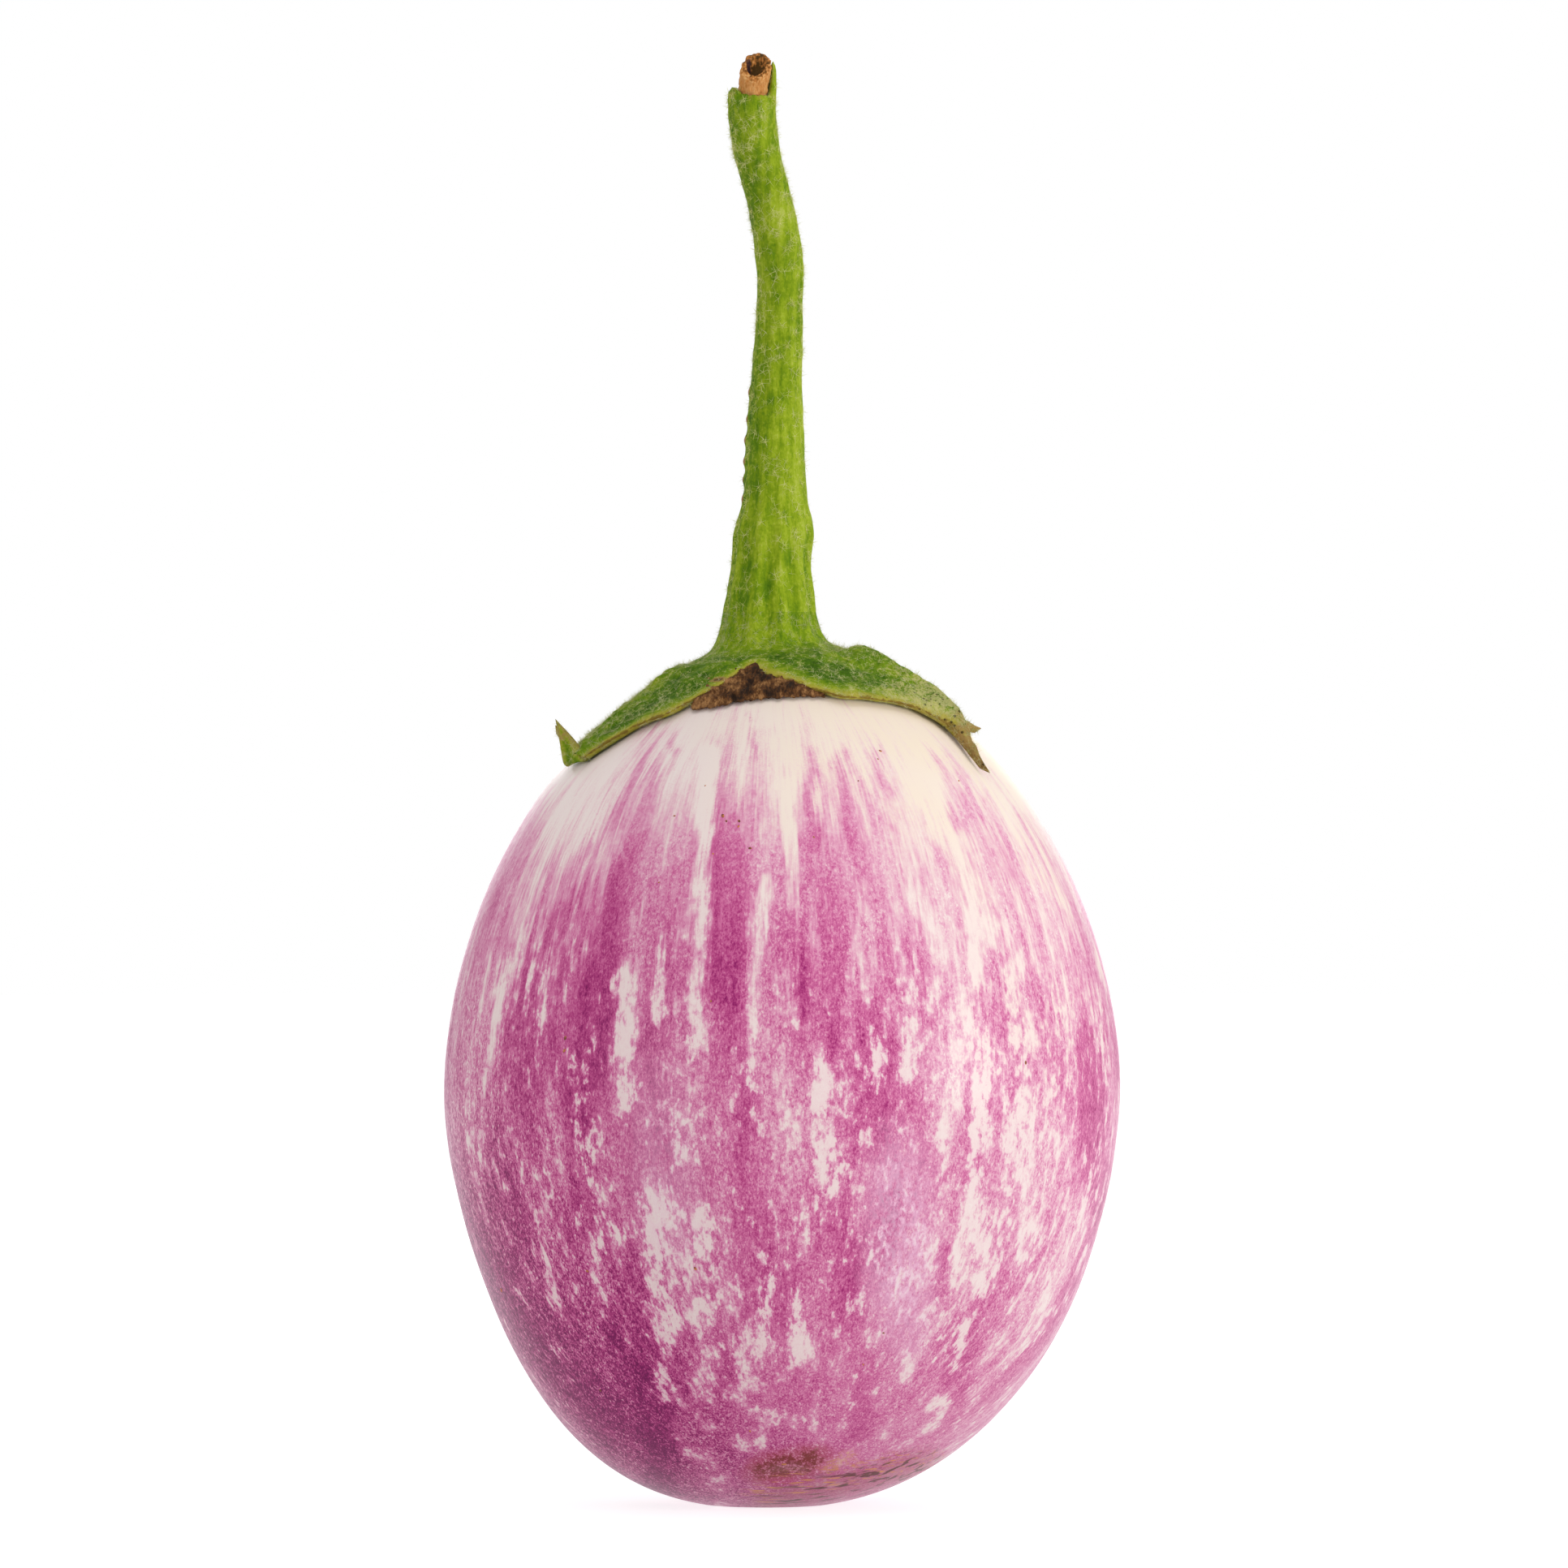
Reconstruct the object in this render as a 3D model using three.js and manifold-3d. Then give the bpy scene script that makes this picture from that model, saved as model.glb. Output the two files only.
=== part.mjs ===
// An egg-shaped, striped eggplant with its calyx and a long green stem, standing on its blossom end.
// Millimetres, +Z up. The origin is on the flat spot that the fruit stands on, under the middle of
// the fruit, and -Y is the front. Directions round the calyx and the stem run from +X towards +Y,
// in degrees.
import * as THREE from "three";
import { mergeVertices } from "three/addons/utils/BufferGeometryUtils.js";
import Module from "manifold-3d";

// Fruit: an egg whose two halves are superellipses that meet at the widest level
const FRUIT_RADIUS = 39;
const WIDEST_Z = 47.6;
const SHOULDER = { height: 50.8, power: 1.918 };
const BELLY = { depth: 48.1, power: 1.742, root: 2.429 };
const FOOT = { shift: -1.9, fade: 28 }; // the blossom end leans left, up to this height
const SEAT = { dip: 0.6, edge: 28, full: 20, lean: 25 }; // the calyx sinks into the shoulder
const FRUIT_COLUMNS = 48;
const FRUIT_ROWS = 13; // in each half

// Calyx: a cap with five pointed lobes, split open at the front, drawn in plan round its centre
const CALYX_CENTRE = new THREE.Vector2(-1.5, 0);
const CAP_REACH = 16.7;
const UNDERSIDE = 0.35; // air between the fruit and the calyx
const FLESH = { hub: 1.55, edge: 0.8, from: 9, to: 16 };
const MARGIN = { thickness: 0.6, round: 1.9 };
// at: direction. tip: length past the cap. taper: how fast it narrows, in degrees. rib: its height.
// hook: how far the tip swings aside. curl: where the tip leaves the fruit, the angle it turns up,
// the radius of that bend, and how far it twists.
const LOBES = {
  front_left: {
    at: 202, tip: 12.4, taper: 13, rib: 0.35, hook: 0,
    curl: { from: 22.9, angle: 125, radius: 1.5, twist: 35 },
  },
  front_right: {
    at: 338, tip: 9.9, taper: 19, rib: 1.3, hook: -1.2,
    curl: { from: 25, angle: 0, radius: 1, twist: 0 },
  },
  back_right: {
    at: 22, tip: 8.2, taper: 15, rib: 1.8, hook: 0,
    curl: { from: 21.6, angle: 55, radius: 2, twist: 0 },
  },
  back: {
    at: 93, tip: 10.3, taper: 16, rib: 0.6, hook: 0.8,
    curl: { from: 23, angle: 35, radius: 4, twist: 0 },
  },
  back_left: {
    at: 161, tip: 11.0, taper: 13, rib: 0.3, hook: 0,
    curl: { from: 21.8, angle: 85, radius: 2.2, twist: 0 },
  },
};
const RIB = { width: 2.3, from: 6.5, to: 12 };
const CREASES = [
  // Valleys where neighbouring lobes stay joined
  { at: 1, depth: 0.75, width: 1.3 },
  { at: 57, depth: 0.35, width: 1.6 },
  { at: 127, depth: 0.35, width: 1.6 },
  { at: 182, depth: 0.4, width: 1.2 },
];
const SPLIT = { at: 259.5, depth: 6.5, left: 8, right: 19 }; // its two arms open at their own rates
const WEB = { from: 8.5, to: 16.3, left: 239, right: 291, under: 0.43, over: 0.8, taper: 7 };
const MARGIN_STEP = 1.8; // length of margin between two columns of the calyx
const LEAF_ROWS = 12;
const UNDER_ROWS = 7;

// Stem: a ribbed foot on the calyx, a knuckle, then a slender bowed stalk with a torn end
const SEAM_Z = 103;
const SEAM_GAP = 0.3;
const FLARE = { reach: 9.6, length: 0.7 };
const STEM_PATH = new THREE.CatmullRomCurve3([
  new THREE.Vector3(-1.5, 0, 98),
  new THREE.Vector3(-1.5, 0, 103),
  new THREE.Vector3(-1.3, 0.5, 109),
  new THREE.Vector3(-0.9, 1.1, 116),
  new THREE.Vector3(-0.8, 1.7, 126),
  new THREE.Vector3(-0.35, 1.9, 137),
  new THREE.Vector3(-0.3, 1.5, 143),
  new THREE.Vector3(-1.3, 0.8, 150),
  new THREE.Vector3(-3.1, -0.3, 157),
  new THREE.Vector3(-3.5, -1.0, 162),
  new THREE.Vector3(-2.7, -1.8, 168),
]);
const STALK_RADIUS = 2.7;
const SWELLINGS = [
  // How much the stem gains on the way down, from which height, and over what length
  { gain: 0.9, from: 138, length: 24 },
  { gain: 0.7, from: 116.5, length: 5 },
  { gain: 0.9, from: 110, length: 8 },
];
const LUMP = { gain: 0.4, z: 112.5, length: 2.6, at: 0, width: 40 };
const STEM_RIBS = { count: 10, depth: 0.24, from: 118, length: 8, phase: 35 };
const STEM_COLUMNS = 30;
const STEM_ROWS = 27;
const TORN_END = { z: 162.6, sliver: 4.1, sliverAt: 25, sliverWidth: 26, left: 1.1 };
const SOCKET = { radius: 2.0, floor: 158 };

// Woody core: the dry stub in the torn end, cut on a slope that faces the front
const CORE = { radius: 1.7, middle: 166.1, slope: 1.8, pit: 0.95, pitDepth: 1.3 };
const CORE_COLUMNS = 18;

// Colours and surfaces
const SKIN = { color: 0xcf92b8, roughness: 0.3, metalness: 0 };
const CALYX_GREEN = { color: 0x55802f, roughness: 0.75, metalness: 0 };
const STEM_GREEN = { color: 0x7da52c, roughness: 0.65, metalness: 0 };
const DRY_WOOD = { color: 0xb5763a, roughness: 0.85, metalness: 0 };

const { clamp, degToRad, euclideanModulo, lerp } = THREE.MathUtils;
const wasm = await Module();
wasm.setup();

// 0 at a, 1 at b and an even curve between them; a may be the larger of the two.
function ease(x, a, b) {
  const t = clamp((x - a) / (b - a), 0, 1);
  return t * t * (3 - 2 * t);
}

function bell(x, width) {
  return Math.exp(-((x / width) ** 2));
}

// The turn from one direction to another, from -180 to 180 degrees.
function turnBetween(from, to) {
  return euclideanModulo(to - from + 180, 360) - 180;
}

function evenSteps(count) {
  return Array.from({ length: count + 1 }, (_, i) => i / count);
}

// A point at a given reach from a centre, in a given direction.
function around(centre, reach, direction, z) {
  const angle = degToRad(direction);
  return new THREE.Vector3(
    centre.x + reach * Math.cos(angle),
    centre.y + reach * Math.sin(angle),
    z,
  );
}

// A closed skin over a grid. place(u, v) gives the point at u round the shape and at v along it.
// The last u stands for the first again, and all of the first v, and of the last, is one point.
function closedSkin(us, vs, place) {
  const plane = new THREE.PlaneGeometry(1, 1, us.length - 1, vs.length - 1);
  const position = plane.getAttribute("position");
  vs.forEach((v, row) => {
    us.forEach((_, column) => {
      const p = place(us[column % (us.length - 1)], v);
      position.setXYZ(row * us.length + column, p.x, p.y, p.z);
    });
  });
  plane.deleteAttribute("normal");
  plane.deleteAttribute("uv");
  const skin = mergeVertices(plane, 1e-4);
  const corners = Array.from(skin.index.array);
  const kept = [];
  for (let i = 0; i < corners.length; i += 3) {
    const [a, b, c] = corners.slice(i, i + 3);
    if (a !== b && b !== c && c !== a) kept.push(a, b, c);
  }
  skin.setIndex(kept);
  return skin;
}

function solid(geometry) {
  const vertProperties = Float32Array.from(geometry.getAttribute("position").array);
  const triVerts = Uint32Array.from(geometry.index.array);
  return new wasm.Manifold(new wasm.Mesh({ numProp: 3, vertProperties, triVerts }));
}

function geometryOf(manifold) {
  const { vertProperties, triVerts } = manifold.getMesh();
  const geometry = new THREE.BufferGeometry();
  geometry.setAttribute("position", new THREE.BufferAttribute(vertProperties, 3));
  geometry.setIndex(new THREE.BufferAttribute(triVerts, 1));
  return geometry;
}

// Height of the fruit's shoulder over a point in plan, with the shallow seat of the calyx.
function shoulderZ(x, y) {
  const r = Math.hypot(x, y);
  const share = (1 - (r / FRUIT_RADIUS) ** SHOULDER.power) ** (1 / SHOULDER.power);
  const dip = SEAT.dip * ease(r, SEAT.edge, SEAT.full) * (1 - x / SEAT.lean);
  return WIDEST_Z + SHOULDER.height * share - dip;
}

// Radius of the fruit's lower half at a depth below its widest level, as shares of depth and radius.
function bellyShare(depthShare) {
  return Math.max(0, 1 - depthShare ** BELLY.power) ** (1 / BELLY.root);
}

// Rows run down the fruit: the shoulder from 0 to 1, the belly from 1 to 2, and the foot's middle.
function fruitPoint(direction, v) {
  if (v > 2) return new THREE.Vector3(FOOT.shift, 0, 0);
  if (v < 1) {
    const r = FRUIT_RADIUS * Math.sin((v * Math.PI) / 2) ** (2 / SHOULDER.power);
    const p = around({ x: 0, y: 0 }, r, direction, 0);
    p.z = shoulderZ(p.x, p.y);
    return p;
  }
  const footShare = WIDEST_Z / BELLY.depth;
  const depthShare = Math.sin((v - 1) * Math.asin(footShare));
  const z = WIDEST_Z - BELLY.depth * depthShare;
  const shift = FOOT.shift * Math.max(0, 1 - z / FOOT.fade) ** 2;
  return around({ x: shift, y: 0 }, FRUIT_RADIUS * bellyShare(depthShare), direction, Math.max(z, 0));
}

function fruit() {
  const rows = evenSteps(FRUIT_ROWS * 2).map((share) => share * 2);
  const columns = evenSteps(FRUIT_COLUMNS).map((share) => share * 360);
  return closedSkin(columns, [...rows, 3], fruitPoint);
}

// Outward direction of the fruit's surface over a point in plan.
function skinNormal(x, y) {
  const step = 0.05;
  const alongX = (shoulderZ(x + step, y) - shoulderZ(x - step, y)) / (2 * step);
  const alongY = (shoulderZ(x, y + step) - shoulderZ(x, y - step)) / (2 * step);
  return new THREE.Vector3(-alongX, -alongY, 1).normalize();
}

// A point at a height off the fruit's surface.
function overSkin(plan, height) {
  const foot = new THREE.Vector3(plan.x, plan.y, shoulderZ(plan.x, plan.y));
  return foot.addScaledVector(skinNormal(plan.x, plan.y), height);
}

// How far the calyx reaches from its centre in a direction.
function marginReach(direction) {
  const turn = turnBetween(SPLIT.at, direction);
  const width = turn < 0 ? SPLIT.left : SPLIT.right;
  let reach = CAP_REACH - SPLIT.depth * clamp(1 - Math.abs(turn) / width, 0, 1);
  for (const lobe of Object.values(LOBES)) {
    reach += lobe.tip * Math.exp(-Math.abs(turnBetween(lobe.at, direction)) / lobe.taper);
  }
  return reach;
}

// The margin between two directions, as a curve that can be walked in even lengths.
class MarginCurve extends THREE.Curve {
  constructor(from, to) {
    super();
    this.from = from;
    this.to = to;
  }

  direction(t) {
    return lerp(this.from, this.to, t);
  }

  getPoint(t) {
    const direction = this.direction(t);
    return around({ x: 0, y: 0 }, marginReach(direction), direction, 0);
  }
}

// Directions of the calyx's columns: one at each tip and in the split, and evenly spaced between.
function marginDirections() {
  const corners = [...Object.values(LOBES).map((lobe) => lobe.at), SPLIT.at].sort((a, b) => a - b);
  const directions = [];
  corners.forEach((from, i) => {
    const to = i + 1 < corners.length ? corners[i + 1] : corners[0] + 360;
    const curve = new MarginCurve(from, to);
    const count = Math.round(curve.getLength() / MARGIN_STEP);
    for (let k = 0; k < count; k += 1) directions.push(curve.direction(curve.getUtoTmapping(k / count)));
  });
  return [...directions, corners[0] + 360];
}

// Thickness of the calyx at a reach, in a direction whose margin is at the given reach.
function calyxThickness(reach, direction, margin) {
  let thickness = lerp(FLESH.hub, FLESH.edge, ease(reach, FLESH.from, FLESH.to));
  const reliefShare = ease(reach, RIB.from, RIB.to);
  for (const lobe of Object.values(LOBES)) {
    const turn = degToRad(turnBetween(lobe.at, direction));
    if (Math.cos(turn) > 0) thickness += lobe.rib * reliefShare * bell(reach * Math.sin(turn), RIB.width);
  }
  for (const crease of CREASES) {
    const turn = degToRad(turnBetween(crease.at, direction));
    const depth = crease.depth * reliefShare;
    if (Math.cos(turn) > 0) thickness -= depth * bell(reach * Math.sin(turn), crease.width);
  }
  const inside = clamp((margin - reach) / MARGIN.round, 0, 1);
  return lerp(MARGIN.thickness, thickness, Math.sqrt(inside * (2 - inside)));
}

function nearestLobe(direction) {
  const lobes = Object.values(LOBES);
  const distance = (lobe) => Math.abs(turnBetween(lobe.at, direction));
  return lobes.reduce((best, lobe) => (distance(lobe) < distance(best) ? lobe : best));
}

// A point in plan at a distance along a lobe and to its side.
function besideLobe(lobe, along, aside) {
  const ahead = around(CALYX_CENTRE, along, lobe.at, 0);
  return around(ahead, aside, lobe.at + 90, 0);
}

// A point of the calyx, at a height off the fruit or off the curled-up part of a lobe.
function calyxPoint(reach, direction, height) {
  const lobe = nearestLobe(direction);
  const turn = degToRad(turnBetween(lobe.at, direction));
  const along = reach * Math.cos(turn);
  const swing = lobe.hook * ease(along, CAP_REACH, CAP_REACH + lobe.tip) ** 2;
  const aside = reach * Math.sin(turn);
  const past = along - lobe.curl.from;
  if (past <= 0 || lobe.curl.angle === 0) return overSkin(besideLobe(lobe, along, aside + swing), height);
  const root = besideLobe(lobe, lobe.curl.from, 0);
  const normal = skinNormal(root.x, root.y);
  const outward = around({ x: 0, y: 0 }, 1, lobe.at, 0).projectOnPlane(normal).normalize();
  const side = new THREE.Vector3().crossVectors(normal, outward);
  const turned = Math.min(past / lobe.curl.radius, degToRad(lobe.curl.angle));
  const straight = past - lobe.curl.radius * turned;
  const ahead = outward.clone().applyAxisAngle(side, -turned);
  const twist = degToRad(lobe.curl.twist) * (past / (CAP_REACH + lobe.tip - lobe.curl.from));
  const leafNormal = normal.clone().applyAxisAngle(side, -turned).applyAxisAngle(ahead, twist);
  const leafSide = side.clone().applyAxisAngle(ahead, twist);
  return overSkin(besideLobe(lobe, lobe.curl.from, aside), 0)
    .addScaledVector(outward, lobe.curl.radius * Math.sin(turned))
    .addScaledVector(normal, lobe.curl.radius * (1 - Math.cos(turned)))
    .addScaledVector(ahead, straight)
    .addScaledVector(leafSide, aside + swing)
    .addScaledVector(side, -aside)
    .addScaledVector(leafNormal, height);
}

// Rows run down the calyx: the middle of the seam at 0, its edge at 1, the flare to 2, the leaf to
// the margin at 3, and then the underside back to the middle at 4.
function calyxRow(direction, v) {
  const margin = marginReach(direction);
  const seam = stemRadius(direction, SEAM_Z);
  if (v === 0) return new THREE.Vector3(CALYX_CENTRE.x, CALYX_CENTRE.y, SEAM_Z);
  if (v > 3) return calyxPoint(margin * (4 - v), direction, UNDERSIDE);
  if (v > 2) {
    const reach = lerp(FLARE.reach, margin, 1 - (3 - v) ** 1.4);
    return calyxPoint(reach, direction, UNDERSIDE + calyxThickness(reach, direction, margin));
  }
  const top = (reach) => overSkin(around(CALYX_CENTRE, reach, direction, 0), UNDERSIDE + FLESH.hub);
  const reach = lerp(seam, FLARE.reach, (v - 1) ** 2);
  const rise = (SEAM_Z - top(seam).z) * Math.exp((seam - reach) / FLARE.length);
  return around(CALYX_CENTRE, reach, direction, top(reach).z + rise);
}

// The torn tissue in the split: a thin plate whose ends and inner edge are buried in the calyx.
function webRow(u, direction) {
  const width = Math.sqrt(ease(direction, WEB.left, WEB.left + WEB.taper)
    * ease(direction, WEB.right, WEB.right - WEB.taper));
  const inner = lerp((WEB.from + WEB.to) / 2, WEB.from, width);
  const outer = lerp((WEB.from + WEB.to) / 2, WEB.to, width);
  const half = (WEB.over - WEB.under) / 2;
  const top = u < 0.5;
  const share = top ? u * 2 : 2 - u * 2;
  const middle = (WEB.over + WEB.under) / 2;
  const height = middle + (top ? 1 : -1) * half * width;
  return overSkin(around(CALYX_CENTRE, lerp(inner, outer, share), direction, 0), height);
}

function calyx() {
  const rows = [0, 1, 1.3, 1.5, 1.7, 2];
  evenSteps(LEAF_ROWS).slice(1).forEach((share) => rows.push(2 + share));
  evenSteps(UNDER_ROWS).forEach((share) => rows.push(3.001 + 0.999 * share));
  const cap = solid(closedSkin(marginDirections(), rows, calyxRow));
  const across = evenSteps(14).map((share) => lerp(WEB.left, WEB.right, share));
  const web = solid(closedSkin(evenSteps(10), across, webRow));
  return geometryOf(cap.add(web));
}

// Middle of the stem at a height.
function stemCentre(z) {
  let low = 0;
  let high = 1;
  for (let i = 0; i < 30; i += 1) {
    const t = (low + high) / 2;
    if (STEM_PATH.getPoint(t).z < z) low = t;
    else high = t;
  }
  return STEM_PATH.getPoint(low);
}

function stemRadius(direction, z) {
  const gain = (swelling) => swelling.gain * ease(z, swelling.from, swelling.from - swelling.length);
  const lumpSide = bell(turnBetween(LUMP.at, direction), LUMP.width);
  const lump = LUMP.gain * bell(z - LUMP.z, LUMP.length) * lumpSide;
  const ribShare = ease(z, STEM_RIBS.from, STEM_RIBS.from - STEM_RIBS.length);
  const rib = STEM_RIBS.depth * Math.cos(degToRad(STEM_RIBS.count * direction + STEM_RIBS.phase));
  return SWELLINGS.reduce((sum, swelling) => sum + gain(swelling), STALK_RADIUS) + lump + rib * ribShare;
}

// Height of the torn end's rim: a sliver stands up behind the core on the right, a shoulder on the left.
function tornZ(direction) {
  const sliver = TORN_END.sliver * bell(turnBetween(TORN_END.sliverAt, direction), TORN_END.sliverWidth);
  const shoulder = TORN_END.left * bell(turnBetween(180, direction), 50);
  return TORN_END.z + sliver + shoulder;
}

// Rows run up the stem: the middle of its foot at 0, the outside from 1 to 2, the socket at 3 to 4.
function stemRow(direction, v) {
  const rim = tornZ(direction);
  const foot = SEAM_Z + SEAM_GAP;
  if (v === 0) return stemCentre(foot);
  if (v <= 2) {
    const z = lerp(foot, rim, v - 1);
    return around(stemCentre(z), stemRadius(direction, z), direction, z);
  }
  if (v === 3) return around(stemCentre(rim), SOCKET.radius, direction, rim);
  if (v === 4) return around(stemCentre(SOCKET.floor), SOCKET.radius, direction, SOCKET.floor);
  return stemCentre(SOCKET.floor);
}

function stem() {
  const rows = [0, ...evenSteps(STEM_ROWS).map((share) => 1 + share), 3, 4, 5];
  return closedSkin(evenSteps(STEM_COLUMNS).map((share) => -360 * share), rows, stemRow);
}

// Rows run up the core: the middle of its foot, its side, the sloping cut, then the pit.
function coreRow(direction, v) {
  const foot = SOCKET.floor + SEAM_GAP;
  const cut = (reach) => CORE.middle + CORE.slope * (reach / CORE.radius) * Math.sin(degToRad(direction));
  const level = (reach, z) => around(stemCentre(z), reach, direction, z);
  if (v === 0) return stemCentre(foot);
  if (v === 1) return level(CORE.radius, foot);
  if (v === 2) return level(CORE.radius, TORN_END.z);
  if (v === 3) return level(CORE.radius, cut(CORE.radius));
  if (v === 4) return level(CORE.pit, cut(CORE.pit));
  if (v === 5) return level(CORE.pit * 0.7, cut(CORE.pit * 0.7) - CORE.pitDepth);
  return stemCentre(CORE.middle - CORE.pitDepth);
}

function core() {
  return closedSkin(evenSteps(CORE_COLUMNS).map((share) => -360 * share), [0, 1, 2, 3, 4, 5, 6], coreRow);
}

function piece(name, geometry, finish) {
  geometry.computeVertexNormals();
  const mesh = new THREE.Mesh(geometry, new THREE.MeshStandardMaterial(finish));
  mesh.name = name;
  return mesh;
}

const eggplant = new THREE.Group();
eggplant.add(
  piece("fruit", fruit(), SKIN),
  piece("calyx", calyx(), CALYX_GREEN),
  piece("stem", stem(), STEM_GREEN),
  piece("stem_core", core(), DRY_WOOD),
);

export default eggplant;
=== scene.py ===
"""Looks of an egg-shaped striped eggplant, standing on its blossom end.

The shapes below are worked out in millimetres and written to the meshes in metres. +Z is up, -Y is
the front, and directions run from +X towards +Y, in degrees.
"""

import math
import random

import bmesh
import bpy
import numpy as np
from mathutils import Euler, Matrix, Vector, noise


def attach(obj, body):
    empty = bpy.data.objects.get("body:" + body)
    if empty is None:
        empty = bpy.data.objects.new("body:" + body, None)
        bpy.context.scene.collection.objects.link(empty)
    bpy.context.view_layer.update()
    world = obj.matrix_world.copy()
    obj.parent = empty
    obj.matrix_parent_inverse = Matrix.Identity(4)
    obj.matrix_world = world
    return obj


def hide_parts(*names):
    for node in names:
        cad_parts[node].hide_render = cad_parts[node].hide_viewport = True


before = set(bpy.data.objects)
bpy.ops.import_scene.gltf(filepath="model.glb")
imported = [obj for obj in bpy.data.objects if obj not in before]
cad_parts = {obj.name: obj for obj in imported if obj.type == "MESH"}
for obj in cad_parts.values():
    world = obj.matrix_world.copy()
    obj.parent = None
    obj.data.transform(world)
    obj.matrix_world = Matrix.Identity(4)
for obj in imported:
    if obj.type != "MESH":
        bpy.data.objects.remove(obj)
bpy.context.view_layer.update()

MM = 0.001
LARGEST_SPIN = 6.28  # radians, the most that a speck or a hair is turned where it stands
HAIR_TUFT = 40  # star hairs joined at a time
HAIR_ROOT = 0.02  # how far a hair is sunk in

# The photograph's frame: its size in pixels, the pixel size at the fruit's middle, and the pixel
# where the fruit's axis meets the surface that it stands on
FRAME_PIXELS = 1932
PIXEL = 0.09386
FOOT_PIXEL = (964, 1852)
CAMERA_DISTANCE = 1200
SENSOR = 36

# The studio, in metres: each lamp has a place, a size and a power
WHITE = (1, 1, 1, 1)
SKY_STRENGTH = 0.58
LAMPS = (
    ("left_softbox", (-0.62, -0.62, 0.12), 0.42, 1.5),
    ("right_softbox", (0.80, -0.38, 0.10), 0.42, 5.0),
    ("top_softbox", (0.1, -0.15, 0.95), 0.7, 1.3),
    ("back_softbox", (0.0, 0.9, 0.3), 0.7, 1.8),
)
LAMP_AIM = (0, 0, 0.055)
FLOOR_RADIUS, BACKDROP_RADIUS = 2.9, 3.0

# Fruit
FRUIT_RADIUS = 39
WIDEST_Z = 47.6
SHOULDER_HEIGHT, SHOULDER_POWER = 50.8, 1.918
BELLY_DEPTH, BELLY_POWER, BELLY_ROOT = 48.1, 1.742, 2.429
FOOT_SHIFT, FOOT_FADE = -1.9, 28
SEAT_DIP, SEAT_EDGE, SEAT_FULL, SEAT_LEAN = 0.6, 28, 20, 25
SCAR = (0.5, -19.0, 4.6)  # the blossom scar, where the stripes meet
SCAR_SPREAD = (3.2, 3.2, 2.2)
STRIPE_TOP_Z, STRIPE_RADIUS = 98.4, 45  # where stripes start, and the radius that they run round

# Calyx. A lobe has a direction (at), the length of its tip past the cap, the degrees over which
# that tip tapers, the share of it that is a narrow point and the degrees of that needle, the height
# of its midrib and how far its end hooks aside. It curls up past start by an angle, round a bend of
# that radius, and twists.
CALYX_CENTRE = (-1.5, 0.0)
CAP_REACH = 16.7
UNDERSIDE = 0.35
CALYX_TONE = 0.48
FLESH_HUB, FLESH_EDGE, FLESH_FROM, FLESH_TO = 1.55, 0.8, 9, 16
MARGIN_THICKNESS, MARGIN_ROUND = 0.6, 1.9
TIP_THICKNESS, TIP_FROM, TIP_TO = 0.8, 22.5, 26
LOBE_WORDS = "at tip taper point needle rib hook start angle bend twist".split()
FRONT_LEFT = dict(zip(LOBE_WORDS, (202, 12.9, 14, 0.24, 2.8, 0.35, 0, 23.4, 115, 0.8, 75)))
FRONT_RIGHT = dict(zip(LOBE_WORDS, (338, 10.6, 20, 0.4, 1.5, 1.3, -3.0, 25, 0, 1, 0)))
BACK_RIGHT = dict(zip(LOBE_WORDS, (22, 9.2, 17, 0.25, 2.8, 0.8, 0, 22.2, 30, 2, 0)))
BACK = dict(zip(LOBE_WORDS, (93, 10.3, 18, 0.3, 2.8, 0.6, 0.8, 23, 35, 4, 0)))
BACK_LEFT = dict(zip(LOBE_WORDS, (161, 11.0, 15, 0.35, 2.8, 0.3, 0, 21.8, 85, 2.2, 0)))
LOBES = (FRONT_LEFT, FRONT_RIGHT, BACK_RIGHT, BACK, BACK_LEFT)
RIB_WIDTH, RIB_FROM, RIB_TO = 2.3, 6.5, 12
CREASES = ((1, 0.75, 1.3), (57, 0.35, 1.6), (127, 0.35, 1.6), (182, 0.4, 1.2))
SPLIT_AT, SPLIT_DEPTH = 259.5, 6.5
TEAR_LEFT, TEAR_RIGHT, TEAR_POWER = 28, 38, 1.05
WEB_FROM, WEB_TO, WEB_LEFT, WEB_RIGHT, WEB_HEIGHT = 8.5, 16.2, 233, 300, 0.40

# Stem
SEAM_Z = 103
FLARE_REACH, FLARE_LENGTH = 9.6, 0.7
STEM_PATH = (
    (-1.5, 0, 98),
    (-1.5, 0, 103),
    (-1.3, 0.5, 109),
    (-0.9, 1.1, 116),
    (-0.8, 1.7, 126),
    (-0.35, 1.9, 137),
    (-0.3, 1.5, 143),
    (-1.3, 0.8, 150),
    (-3.1, -0.3, 157),
    (-3.5, -1.0, 162),
    (-2.7, -1.8, 168),
)
STALK_RADIUS = 2.7
STALK_TONE = 0.5
SWELLINGS = ((0.9, 138, 24), (0.7, 116.5, 5), (0.9, 110, 8))
LUMP_GAIN, LUMP_Z, LUMP_LENGTH, LUMP_AT, LUMP_WIDTH = 0.4, 112.5, 2.6, 0, 40
RIB_COUNT, RIB_DEPTH, RIBS_FROM, RIBS_LENGTH, RIB_PHASE = 10, 0.24, 118, 8, 35
TORN_Z, SLIVER, SLIVER_AT, SLIVER_WIDTH = 162.6, 4.1, 25, 26
TORN_LEFT, TORN_LEFT_AT, TORN_LEFT_WIDTH = 1.1, 180, 50
SOCKET_RADIUS, SOCKET_FLOOR = 1.85, 158
CORE_RADIUS, CORE_MIDDLE, CORE_SLOPE, PIT_RADIUS, PIT_DEPTH = 1.7, 166.1, 1.8, 1.12, 1.3
CORE_ROUND = 0.22
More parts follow.
